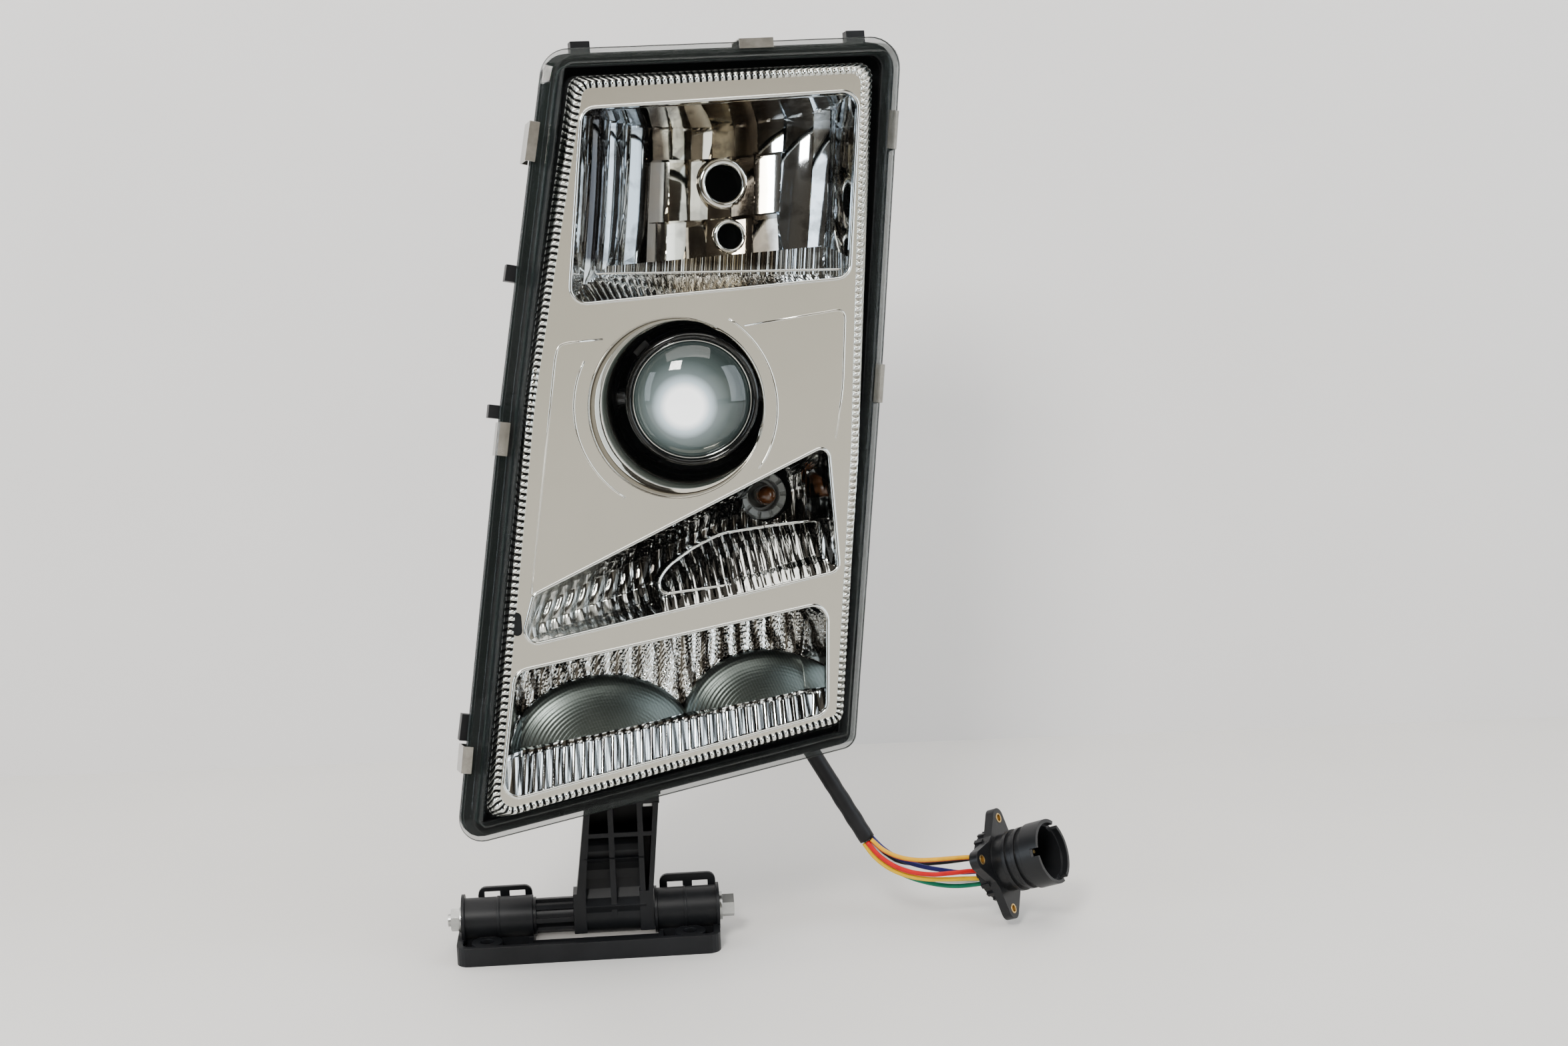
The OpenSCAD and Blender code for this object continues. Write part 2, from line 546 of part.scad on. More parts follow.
module projector_bowl() color("#c4c7c9") at_beam() rotate_extrude() polygon([[40, -31], [40, -34],
    [38.5, -45], [34.5, -58], [27, -68], [18, -75], [12, -75], [12, -73], [17, -73], [25.5, -66.5],
    [32.5, -57], [36.5, -44.5], [38, -34], [38, -31]]);
module xenon_burner() color([0.9, 0.92, 0.9, 0.5]) at_beam() {
    disc([0, 0], -75, -44, 4.5);
    disc([0, 0], -80, -75, 14.9);
}
module igniter() color("#26262a") at_beam() translate([-18, -18, -98]) cube([36, 36, 17.9]);

// ---- Levelling and aiming ----

module level_motor() color("#2a2b2f") at_beam() difference() {
    union() {
        disc([rod_x, rod_lift], -98, -68, 15.5);
        disc([rod_x, rod_lift], -110, -98, 9);
        disc([rod_x, rod_lift], -68, -62, 7);
    }
    disc([rod_x, rod_lift], -96, -61, 3 + running);
}
module level_rod() color("white") at_beam() {
    disc([rod_x, rod_lift], -90, pivot_z, 3);
    translate([rod_x, rod_lift, pivot_z]) sphere(r = 4);
}
module aim_screw(at, end) {
    disc(at, -end, -10.5, 3);
    disc(at, -end - 8, -end, 6);
    disc(at, -end, 8 - end, 4);
}
module side_screw() color("white") at_beam() aim_screw(side_screw_at, 128);
module height_screw() color("white") at_beam() aim_screw(height_screw_at, 99);

// ---- Back of the housing ----

module cap(at, r, back) translate([at[0], at[1], 0]) difference() {
    union() {
        disc([0, 0], back - 13.3, back - 2, r + 7);
        for (a = [90, 210, 330]) sector(back - 13.3, back - 10.3, r + 6.5, r + 11.3, a, 24);
        for (a = [30, 210]) rotate(a) translate([-2, -r * 0.8, back - 19]) cube([4, r * 1.6, 6]);
    }
    disc([0, 0], back - 10.3, back - 1, r + 4.4);
}
module projector_cover() color("#232427") at_face() cap(projector_cover_at, projector_cover_r, -upper_back);
module main_cover() color("#232427") at_face() cap(main_cover_at, main_cover_r, -upper_back);
module cover_seals() color("#101010") at_face() {
    tube(projector_cover_at, -upper_back - 10, -upper_back - 8, projector_cover_r + 4, projector_cover_r);
    tube(main_cover_at, -upper_back - 10, -upper_back - 8, main_cover_r + 4, main_cover_r);
}
module turn_bulb_holder() color("#4a4b4e") at_face() difference() {
    union() {
        disc(turn_hole_at, -lower_back - 5, turn_back_w + 1, turn_hole_r - 0.3);
        disc(turn_hole_at, -lower_back - 5, -lower_back - 2.3, turn_hole_r + 6);
        translate([turn_hole_at[0] - 2, turn_hole_at[1] - 13, -lower_back - 14]) cube([4, 26, 10]);
    }
    disc(turn_hole_at, -70, 0, 8.2);
    disc(turn_hole_at, turn_back_w - 4, 0, 12.6);
}
module turn_bulb() color("orange") at_face() {
    disc(turn_hole_at, -70, -40, 8);
    translate([turn_hole_at[0], turn_hole_at[1], -35]) sphere(r = 11);
}
module holder_seal() color("#101010") at_face()
    tube(turn_hole_at, -lower_back - 2, -lower_back, turn_hole_r + 5, turn_hole_r + 1.4);
module ballast() color("#9a9da1") at_face() translate([-85, -190, -lower_back - 24]) {
    cube([96, 72, 24]);
    for (x = [6:10:86]) translate([x, 4, -3]) cube([3, 64, 3]);
    for (x = [-8, 96], y = [10, 52]) translate([x, y, 21]) difference() {
        cube([8, 10, 3]);
        translate([4, 5, -1]) cylinder(h = 5, r = 2.6);
    }
}
module ballast_screws() color("silver") at_face() for (x = [-89, 15], y = [-175, -133]) {
    disc([x, y], -lower_back - 4, -lower_back, 2.5);
    disc([x, y], -lower_back - 6, -lower_back - 3, 3.9);
}
module breathers() color("#151515") at_face() for (p = [[-34, 150], [86, -5]])
    tube(p, -upper_back - 14, -upper_back, 6.5, 3.5);

base_bracket();
spacer_bush();
thrust_washer();
hinge_bolt();
nut_washer();
hinge_nut();
connector_shell();
connector_bushes();
connector_insert();
connector_contacts();
connector_seal();
wire_yellow();
wire_red();
wire_striped();
wire_blue();
wire_black();
wire_green();
wire_white();
hinge_arm();
arm_bush();
arm_screws();
housing();
lens_seal();
lens();
lens_clips();
bezel();
bezel_plug();
main_reflector();
turn_reflector();
lower_reflector();
projector_dish();
pivot_post();
level_motor();
level_rod();
ballast();
ballast_screws();
breathers();
cable_gland();
harness_sleeve();
cover_seals();
holder_seal();
projector_frame();
pivot_pins();
lens_holder();
projector_lens();
lens_ring();
shutter();
projector_bowl();
xenon_burner();
igniter();
side_screw();
height_screw();
projector_cover();
main_cover();
turn_bulb_holder();
turn_bulb();
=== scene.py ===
"""Looks of the tall slant-sided headlamp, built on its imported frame: +X right, the lamp faces -Y, +Z up.

Sizes below are in millimetres and are turned to metres where a surface is made."""
import math

import bpy
import numpy as np
from mathutils import Matrix, Vector


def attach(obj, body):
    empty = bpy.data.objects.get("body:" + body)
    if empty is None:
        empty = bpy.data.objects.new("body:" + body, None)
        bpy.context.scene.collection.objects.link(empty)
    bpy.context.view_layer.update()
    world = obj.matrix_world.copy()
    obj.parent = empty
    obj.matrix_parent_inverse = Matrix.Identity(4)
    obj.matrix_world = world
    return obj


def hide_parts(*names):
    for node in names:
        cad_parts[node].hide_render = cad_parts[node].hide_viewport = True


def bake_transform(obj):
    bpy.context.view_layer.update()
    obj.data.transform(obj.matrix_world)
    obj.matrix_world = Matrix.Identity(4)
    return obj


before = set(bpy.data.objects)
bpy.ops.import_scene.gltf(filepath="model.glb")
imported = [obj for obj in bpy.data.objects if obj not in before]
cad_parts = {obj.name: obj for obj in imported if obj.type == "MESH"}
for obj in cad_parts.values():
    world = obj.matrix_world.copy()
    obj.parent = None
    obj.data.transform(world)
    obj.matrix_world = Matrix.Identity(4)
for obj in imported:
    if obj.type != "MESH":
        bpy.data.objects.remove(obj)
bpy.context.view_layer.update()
MM = 0.001

# ---- Frames of the lamp ----

RAKE, YAW = math.radians(8), math.radians(12)
FACE_AT = np.array([78.0, -40.0, 345.0])
ACROSS = np.array([math.cos(YAW), math.sin(YAW), 0.0])
UP = np.array([-math.sin(YAW) * math.sin(RAKE), math.cos(YAW) * math.sin(RAKE), math.cos(RAKE)])
OUT = np.cross(ACROSS, UP)
BEAM_AT = np.array([78.5, -20.0, 350.5])
lens_outline = [(157, 225.5, 18), (-70, 222.5, 18), (-111.5, 15, 600), (-158.5, -249.5, 14),
                (94, -214.5, 10), (129, 20, 600)]
bezel_outline = [(128, 204.5, 10), (-54, 200, 10), (-97.5, 14, 600), (-138.5, -232.5, 12),
                 (82, -195.5, 8), (104, -30, 600)]
upper_opening = [(121, 189.5, 9), (-52, 184, 9), (-68, 69, 9), (106.5, 76.5, 9)]
turn_opening = [(85, -26, 5), (-102.5, -102, 5), (-112.5, -131.5, 7), (86.5, -103, 6)]
lower_opening = [(77.5, -122.5, 9), (-117, -146.5, 9), (-131, -222, 9), (72.5, -190, 9)]
DISH_AT, DISH_R, DISH_INNER_R, RING_R = (-7.6, 3.3), 54.0, 45.0, 40.8
MAIN_HOLE, POSITION_HOLE, TURN_HOLE = (47, 143), (48, 109.5), (53.5, -54.4)
MAIN_HOLE_R, POSITION_HOLE_R, TURN_HOLE_R = 11.5, 7.6, 15.6
BEZEL = -8.0                            # front of the bezel's plate, out of the face


def on_face(u, v, w):
    """Place of across u, up v and out w, measured from the glass's reference point, in metres."""
    u, v, w = np.broadcast_arrays(u, v, w)
    p = FACE_AT + u[..., None] * ACROSS + v[..., None] * UP + w[..., None] * OUT
    return p * MM


def on_beam(x, y, z):
    """Place of x right, y up and z forward of the projector's lens, in metres."""
    x, y, z = np.broadcast_arrays(x, y, z)
    return np.stack([BEAM_AT[0] + x, BEAM_AT[1] - z, BEAM_AT[2] + y], -1) * MM


# ---- Camera ----

def camera():
    """Sets the camera by its place and its right, up and back directions."""
    data = bpy.data.cameras.new("camera")
    data.lens, data.sensor_width = 53.5, 36
    eye = bpy.data.objects.new("camera", data)
    bpy.context.scene.collection.objects.link(eye)
    pitch, turn, roll = math.radians(10), math.radians(-4), math.radians(1.9)
    ahead = Vector((-math.sin(turn) * math.cos(pitch), math.cos(turn) * math.cos(pitch), -math.sin(pitch)))
    level = Vector((math.cos(turn), math.sin(turn), 0))
    above = level.cross(ahead)
    right = level * math.cos(roll) - above * math.sin(roll)
    top = above * math.cos(roll) + level * math.sin(roll)
    turned = Matrix((right, top, -ahead)).transposed().to_4x4()
    eye.matrix_world = Matrix.Translation((0.0334, -1.4295, 0.5205)) @ turned
    bpy.context.scene.camera = eye


# ---- Shader writing ----

class Value:
    """A shader socket whose operators add Math nodes."""
    def __init__(self, shader, socket):
        self.shader, self.socket = shader, socket

    def math(self, operation, *others):
        inputs = dict(enumerate((self, *others)))
        return self.shader.node("ShaderNodeMath", {"operation": operation}, inputs)

    def __add__(self, other): return self.math("ADD", other)
    def __radd__(self, other): return self.math("ADD", other)
    def __sub__(self, other): return self.math("SUBTRACT", other)
    def __mul__(self, other): return self.math("MULTIPLY", other)
    def __rmul__(self, other): return self.math("MULTIPLY", other)
    def __truediv__(self, other): return self.math("DIVIDE", other)
    def __pow__(self, other): return self.math("POWER", other)
    def __rsub__(self, other): return (self * -1).math("ADD", other)
    def __gt__(self, other): return self.math("GREATER_THAN", other)
    def __lt__(self, other): return self.math("LESS_THAN", other)
    def clamp(self): return self.math("MINIMUM", 1.0).math("MAXIMUM", 0.0)
    def step(self, low, high): return ((self - low) / (high - low)).clamp()
    def wave(self): return (self * 2 * math.pi).math("SINE") * 0.5 + 0.5


class Shader:
    """A node material; node() adds any node and surface() its main shader."""
    def __init__(self, name):
        self.material = bpy.data.materials.new(name)
        self.material.use_nodes = True
        self.tree = self.material.node_tree
        self.tree.nodes.clear()
        self.end = self.tree.nodes.new("ShaderNodeOutputMaterial")

    def node(self, kind, settings=None, inputs=None, out=0):
        made = self.tree.nodes.new(kind)
        for name, value in (settings or {}).items():
            if name == "stops":
                for stop, (place, colour) in zip(self.stops(made, len(value)), value):
                    stop.position, stop.color = place, (*colour, 1)
            else:
                setattr(made, name, value)
        for name, value in (inputs or {}).items():
            socket = made.inputs[name]
            if isinstance(value, Value):
                self.tree.links.new(value.socket, socket)
            elif socket.type == "RGBA" and len(value) == 3:
                socket.default_value = (*value, 1)
            else:
                socket.default_value = value
        return Value(self, made.outputs[out])

    def stops(self, ramp, count):
        while len(ramp.color_ramp.elements) < count:
            ramp.color_ramp.elements.new(1)
        return ramp.color_ramp.elements

    def place(self):
        """Object coordinates in metres, the same for every piece, as each lies at the origin."""
        return self.node("ShaderNodeTexCoord", out="Object")

    def axis(self, direction, origin=(0, 0, 0)):
        """Distance in millimetres along a direction from an origin given in millimetres."""
        along = self.node("ShaderNodeVectorMath", {"operation": "DOT_PRODUCT"},
                          {0: self.place(), 1: tuple(float(x) for x in direction)}, "Value")
        return along * 1000.0 - float(np.dot(direction, origin))

    def noise(self, scale, detail=3.0, roughness=0.5):
        return self.node("ShaderNodeTexNoise", {}, {
            "Scale": scale, "Detail": detail, "Roughness": roughness, "Vector": self.place()})

    def ramp(self, factor, stops):
        return self.node("ShaderNodeValToRGB", {"stops": stops}, {"Fac": factor})

    def mix(self, factor, a, b):
        return self.node("ShaderNodeMix", {"data_type": "RGBA"}, {0: factor, 6: a, 7: b}, 2)

    def bump(self, height, distance, strength=1.0, normal=None):
        inputs = {"Height": height, "Distance": distance, "Strength": strength}
        if normal:
            inputs["Normal"] = normal
        return self.node("ShaderNodeBump", {}, inputs)

    def rounded_edges(self, radius):
        """Normals that turn over the edges as if they had this radius, in millimetres."""
        return self.node("ShaderNodeBevel", {"samples": 4}, {"Radius": radius * MM})

    def surface(self, **inputs):
        named = {name.replace("_", " "): value for name, value in inputs.items()}
        return self.node("ShaderNodeBsdfPrincipled", {}, named)

    def finish(self, shader):
        self.tree.links.new(shader.socket, self.end.inputs["Surface"])
        return self.material


def black_plastic(name, colour=(0.005, 0.0053, 0.006), rough=0.42, edge=0.7, grain=2400.0, shine=0.2):
    """Glass-filled black nylon: fine grain, faint flow patches and softened edges."""
    s = Shader(name)
    patches = s.noise(28.0, 4.0, 0.6)
    tone = s.mix(patches.step(0.3, 0.75), colour, tuple(c * 1.9 for c in colour))
    fine = s.noise(grain, 2.0, 0.6)
    normal = s.bump(fine, 0.00006, 0.5, s.rounded_edges(edge))
    return s.finish(s.surface(Base_Color=tone, Roughness=rough + patches * 0.16 - 0.08, Normal=normal,
                              Specular_IOR_Level=shine))


def chrome(name, colour=(0.86, 0.86, 0.84), rough=0.05, ripple=0.00012):
    """Vacuum metallised plastic: near mirror, with the faint unevenness of its lacquer."""
    s = Shader(name)
    wave = s.noise(55.0, 3.0, 0.5)
    haze = s.noise(9.0, 4.0, 0.6)
    tone = s.mix(haze.step(0.35, 0.8), colour, tuple(c * 0.93 for c in colour))
    return s.finish(s.surface(Base_Color=tone, Metallic=1.0, Roughness=rough + haze * 0.05,
                              Normal=s.bump(wave, ripple, 0.6)))


def black_lacquer(name):
    """Smooth glossy black."""
    s = Shader(name)
    tone = s.mix(s.noise(30.0), (0.003, 0.003, 0.0032), (0.005, 0.005, 0.0055))
    return s.finish(s.surface(Base_Color=tone, Roughness=0.07, Specular_IOR_Level=0.6,
                              Normal=s.rounded_edges(0.4)))


def steel(name, colour=(0.62, 0.63, 0.64), rough=0.3, grain=260.0):
    """Zinc plated steel with a faint drawn grain and dull spots."""
    s = Shader(name)
    spots = s.noise(90.0, 5.0, 0.65)
    tone = s.mix(spots.step(0.35, 0.7), tuple(c * 0.72 for c in colour), colour)
    scratch = s.noise(grain, 3.0, 0.5)
    normal = s.bump(scratch, 0.00008, 0.4, s.rounded_edges(0.3))
    return s.finish(s.surface(Base_Color=tone, Metallic=1.0, Roughness=rough + spots * 0.2 - 0.08,
                              Normal=normal))


# ---- Mesh making ----

def mesh_from_grid(name, points, loop_rows=False, loop_cols=False, cap_start=False, cap_end=False,
                   gone=None):
    """A surface through a grid of points; a looped direction closes on itself, a cap is a fan to the mean.

    Faces marked in gone are left out, with the points that no other face uses."""
    rows, cols = points.shape[:2]
    index = np.arange(rows * cols).reshape(rows, cols)
    a = np.vstack([index, index[:1]]) if loop_rows else index
    a = np.hstack([a, a[:, :1]]) if loop_cols else a
    quads = np.stack([a[:-1, :-1], a[:-1, 1:], a[1:, 1:], a[1:, :-1]], -1).reshape(-1, 4)
    verts = points.reshape(-1, 3)
    if gone is not None:
        used, quads = np.unique(quads[~gone.ravel()], return_inverse=True)
        verts, quads = verts[used], quads.reshape(-1, 4)
    faces = quads.tolist()
    for wanted, row in ((cap_start, a[0, ::-1]), (cap_end, a[-1])):
        if wanted:
            verts = np.vstack([verts, verts[row[:-1]].mean(0)])
            middle = np.full(len(row) - 1, len(verts) - 1)
            faces += np.stack([row[:-1], row[1:], middle], -1).tolist()
    mesh = bpy.data.meshes.new(name)
    mesh.from_pydata(verts.tolist(), [], faces)
    mesh.shade_smooth()
    piece = bpy.data.objects.new(name, mesh)
    bpy.context.scene.collection.objects.link(piece)
    return piece


def joined(name, pieces):
    """One piece made of several."""
    with bpy.context.temp_override(active_object=pieces[0], selected_editable_objects=pieces):
        bpy.ops.object.join()
    pieces[0].name = pieces[0].data.name = name
    return pieces[0]


def tube(name, rings):
    """A surface through rings, closed at both ends."""
    return mesh_from_grid(name, rings, loop_cols=True, cap_start=True, cap_end=True)


def dressed(piece, material, body, *replaced):
    """Gives a new piece its material, its body and the CAD nodes that it stands for."""
    piece.data.materials.clear()
    piece.data.materials.append(material)
    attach(piece, body)
    if replaced:
        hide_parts(*replaced)
    return piece


def shell(piece, thickness):
    """Gives an open surface a wall behind it, in millimetres."""
    wall = piece.modifiers.new("wall", "SOLIDIFY")
    wall.thickness, wall.offset = thickness * MM, -1
    return piece


def inset(corners, d):
    """A corner list with every side moved inwards by d."""
    p = np.array([c[:2] for c in corners], float)
    r = [c[2] if c[2] > 100 else max(c[2] - d, 0.6) for c in corners]
    side = np.roll(p, -1, 0) - p
    side /= np.linalg.norm(side, axis=1)[:, None]
    inward = np.stack([-side[:, 1], side[:, 0]], -1)
    before = np.roll(inward, 1, 0)
    moved = p + (before + inward) * d / (1 + (before * inward).sum(1))[:, None]
    return [(*xy, radius) for xy, radius in zip(moved, r)]


def ring(corners, d=0.0, per_corner=8, per_side=24):
    """Points round a corner list moved inwards by d: an arc at each corner and equal steps on each side.

    Every ring of one corner list has the same count, so rings join into a wall."""
    c = inset(corners, d) if d else [tuple(map(float, x)) for x in corners]
    p = np.array([x[:2] for x in c])
    arcs = []
    for i, (x, y, r) in enumerate(c):
        here = np.array([x, y])
        a, b = p[i - 1] - here, p[(i + 1) % len(p)] - here
        a, b = a / np.linalg.norm(a), b / np.linalg.norm(b)
        half = math.acos(np.clip(a @ b, -1, 1)) / 2
        middle = here + (a + b) / np.linalg.norm(a + b) * r / math.sin(half)
        start, stop = here + a * r / math.tan(half), here + b * r / math.tan(half)
        from_angle = math.atan2(*(start - middle)[::-1])
        swing = (math.atan2(*(stop - middle)[::-1]) - from_angle + math.pi) % (2 * math.pi) - math.pi
        t = from_angle + swing * np.linspace(0, 1, per_corner + 1)
        arcs.append(middle + r * np.stack([np.cos(t), np.sin(t)], -1))
    parts = []
    for i, arc in enumerate(arcs):
        following = arcs[(i + 1) % len(arcs)][0]
        steps = np.linspace(0, 1, (per_side[i] if np.ndim(per_side) else per_side) + 1)[1:-1, None]
        parts += [arc, arc[-1] * (1 - steps) + following * steps]
    return np.vstack(parts)


def carried(name, corners, profile):
    """A closed profile of (inset, depth) points carried round a corner list."""
    rows = []
    for d, w in profile:
        p = ring(corners, d)
        rows.append(on_face(p[:, 0], p[:, 1], w))
    return mesh_from_grid(name, np.array(rows), loop_rows=True, loop_cols=True)


def turned_on(place, centre, profile, count=96):
    """A profile of (radius, depth) points turned about an axis through centre, by place's own axes."""
    t = np.linspace(0, 2 * np.pi, count, endpoint=False)
    rows = [place(centre[0] + r * np.cos(t), centre[1] + r * np.sin(t), w) for r, w in profile]
    return np.array(rows)


def swept(route, radius, sides=16, steps=6, share=None):
    """A round tube along a smooth curve through the route's points, in metres.

    The curve is a Catmull-Rom spline; share gives the radius's factor by the way along it."""
    p = np.array(route, float)
    p = np.vstack([2 * p[0] - p[1], p, 2 * p[-1] - p[-2]])
    t = np.linspace(0, 1, steps, endpoint=False)[:, None]
    parts = []
    for a, b, c, d in zip(p[:-3], p[1:-2], p[2:-1], p[3:]):
        parts.append(0.5 * (2 * b + (c - a) * t + (2 * a - 5 * b + 4 * c - d) * t ** 2
                            + (3 * b - a - 3 * c + d) * t ** 3))
    path = np.vstack(parts + [p[-2:-1]])
    path = path[np.append(True, np.linalg.norm(np.diff(path, axis=0), axis=1) > 0.02 * MM)]
    along = np.gradient(path, axis=0)
    along /= np.linalg.norm(along, axis=1)[:, None]
    side = np.cross(along, [0, 1, 0])
    side /= np.linalg.norm(side, axis=1)[:, None]
    third = np.cross(side, along)
    angle = -np.linspace(0, 2 * np.pi, sides, endpoint=False)
    size = radius * (share(np.linspace(0, 1, len(path))) if share else np.ones(len(path)))
    rings = path[:, None] + size[:, None, None] * (
        side[:, None] * np.cos(angle)[None, :, None] + third[:, None] * np.sin(angle)[None, :, None])
    return rings, path


# ---- Lead: sleeve and wires, on the routes of the CAD model ----

SLEEVE_ROUTE = [(136.4, 7, 136), (150, 4.8, 112.3), (165, 2.4, 86.1), (180, 0, 60)]
WIRE_ROUTES = {
    "wire_yellow": [(177.8, -1, 57.5), (184, -4, 49), (193, -6, 41.5), (204, -6, 36), (217, -5, 32.5),
                    (231, -2, 30.5), (245, 0, 29.5), (262.6, 0.6, 28.5)],
    "wire_red": [(179.5, -3, 58.7), (187, -6, 50), (197, -8, 43), (208, -8, 38.5), (221, -7, 36),
                 (234, -5, 35.5), (246, -3, 35.5), (258.7, -1.6, 34.2)],
    "wire_striped": [(182.2, -2.4, 60.1), (190, -4, 53), (200, -4, 47.8), (212, -3, 44.8), (225, -1, 43.8),
                     (239, 1, 43.5), (249, 2, 43), (258, 2.5, 41.7)],
    "wire_blue": [(183.1, 0.5, 60.6), (191, 1, 52), (202, 2, 44), (215, 3, 38.5), (229, 5, 34.5),
                  (243, 7, 31.5), (264.9, 6.3, 32.3)],
    "wire_black": [(181.9, 2.9, 59.4), (190, 5, 49), (201, 7, 41.5), (213, 9, 38.5), (227, 10, 38),
                   (241, 11, 38.5), (264.5, 11.4, 40.7)],
    "wire_green": [(179.3, 2.4, 57.9), (185, 4, 48), (194, 6, 39), (206, 7, 31), (220, 6, 26),
                   (234, 5, 23.5), (248, 6, 23), (266.3, 4.1, 25.7)],
    "wire_white": [(180.5, 0, 59), (187.5, 0.5, 49.5), (197.5, 0.5, 41.5), (210, 0.5, 35), (224, 2.5, 29.5),
                   (238, 5, 26.5), (252, 8, 26), (269.1, 9.5, 27.6)],
}
WIRE_COLOURS = {"wire_yellow": (0.72, 0.44, 0.0), "wire_red": (0.50, 0.004, 0.006),
                "wire_striped": (0.70, 0.36, 0.004), "wire_blue": (0.01, 0.012, 0.12),
                "wire_black": (0.008, 0.008, 0.009), "wire_green": (0.0, 0.17, 0.09),
                "wire_white": (0.62, 0.62, 0.6)}
WIRE_R, SLEEVE_R = 1.5, 5.25
WIRE_SIDES = 14


def wire_material(name, colour, stripe=None):
    """PVC insulation, glossy, with a stripe along it where the wire has one."""
    s = Shader(name)
    tone = s.mix(s.noise(160.0, 3.0).step(0.3, 0.8), colour, tuple(c * 0.8 for c in colour))
    if stripe:
        around = s.node("ShaderNodeAttribute", {"attribute_name": "around"}, out="Fac")
        tone = s.mix((around - 0.5).math("ABSOLUTE") < 0.16, tone, stripe)
    return s.finish(s.surface(Base_Color=tone, Roughness=0.4, Specular_IOR_Level=0.25,
                              Normal=s.bump(s.noise(900.0), 0.00004, 0.5)))


def length_of(path):
    """Length of a line through points, in the points' own unit."""
    return float(np.linalg.norm(np.diff(path, axis=0), axis=1).sum())


def lead():
    """The black sleeve and the seven wires, each a swept tube."""
    def uneven(t):
        return 1.0 + 0.03 * np.sin(40 * t) * (t > 0.5) - 0.04 * (t > 0.97)

    rings, path = swept(np.array(SLEEVE_ROUTE) * MM, SLEEVE_R * MM, 24, 12, uneven)
    sleeve = tube("harness_sleeve_tube", rings)
    s = Shader("black_sleeve")
    tone = s.mix(s.noise(70.0, 4.0).step(0.35, 0.75), (0.004, 0.004, 0.0045), (0.009, 0.009, 0.01))
    skin = s.finish(s.surface(Base_Color=tone, Roughness=0.42 + s.noise(300.0) * 0.12,
                              Specular_IOR_Level=0.2, Normal=s.bump(s.noise(500.0, 4.0), 0.0001, 0.6)))
    dressed(sleeve, skin, "lamp", "harness_sleeve")
    tuple(path[0])
    length_of(path)
    [tuple(p) for p in path]
    for name, route in WIRE_ROUTES.items():
        rings, path = swept(np.array(route) * MM, WIRE_R * MM, WIRE_SIDES)
        piece = tube(name + "_run", rings)
        stripe = (0.55, 0.045, 0.004) if name == "wire_striped" else None
        around = piece.data.attributes.new("around", "FLOAT", "POINT")
        values = np.zeros(len(piece.data.vertices), np.float32)
        turn = np.linspace(0, 1, WIRE_SIDES, endpoint=False)
        values[:len(rings) * WIRE_SIDES] = np.tile(turn, len(rings))
        around.data.foreach_set("value", values)
        piece.data.materials.append(wire_material(name + "_skin", WIRE_COLOURS[name], stripe))
        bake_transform(piece)
        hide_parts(name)
        tuple(path[0])
        length_of(path)
        [tuple(p) for p in path]


camera()
lead()


# ---- Face: glass, bezel and seal ----

def even_counts(corners, pitch):
    """How many points each side of a corner list needs to be pitch apart."""
    p = np.array([c[:2] for c in corners], float)
    return [max(4, int(n)) for n in np.linalg.norm(np.roll(p, -1, 0) - p, axis=1) / pitch]


def sharpened(piece, degrees=30):
    """Edges that turn more than this stay crisp."""
    piece.data.set_sharp_from_angle(angle=math.radians(degrees))
    return piece


def glass_face():
    """Clear cover: flange, upright wall and a face that bulges 4 mm, as one closed surface.

    Outer and inner rings follow the outline; the bulge is one minus the square of the way to its edge."""
    middle = np.array([-1.0, -5.0])

    def bulge(d, w, height, shrink):
        p = middle + (ring(lens_outline, d) - middle) * shrink
        return on_face(p[:, 0], p[:, 1], w + height * (1 - shrink ** 2))

    ways = np.linspace(0.02, 1, 20)
    inner = [bulge(13.5, -3.9, 4.1, k) for k in ways]
    wall_in = [(12, -4.3), (10.9, -5.6), (10.4, -7.5), (10.4, -25), (9.6, -26)]
    wall_out = [(0.7, -26), (0, -25.3), (0, -22.7), (0.7, -22), (6, -22), (6.8, -21.4), (7, -20.5), (7, -4),
                (7.5, -2.2), (8.7, -1)]
    rows = inner + [on_face(*ring(lens_outline, d).T, w) for d, w in wall_in + wall_out]
    rows += [bulge(10.5, -0.6, 4.1, k) for k in ways[::-1]]
    piece = tube("glass_face", np.array(rows))
    return sharpened(piece, 50)


FLUTE_PITCH = 4.0


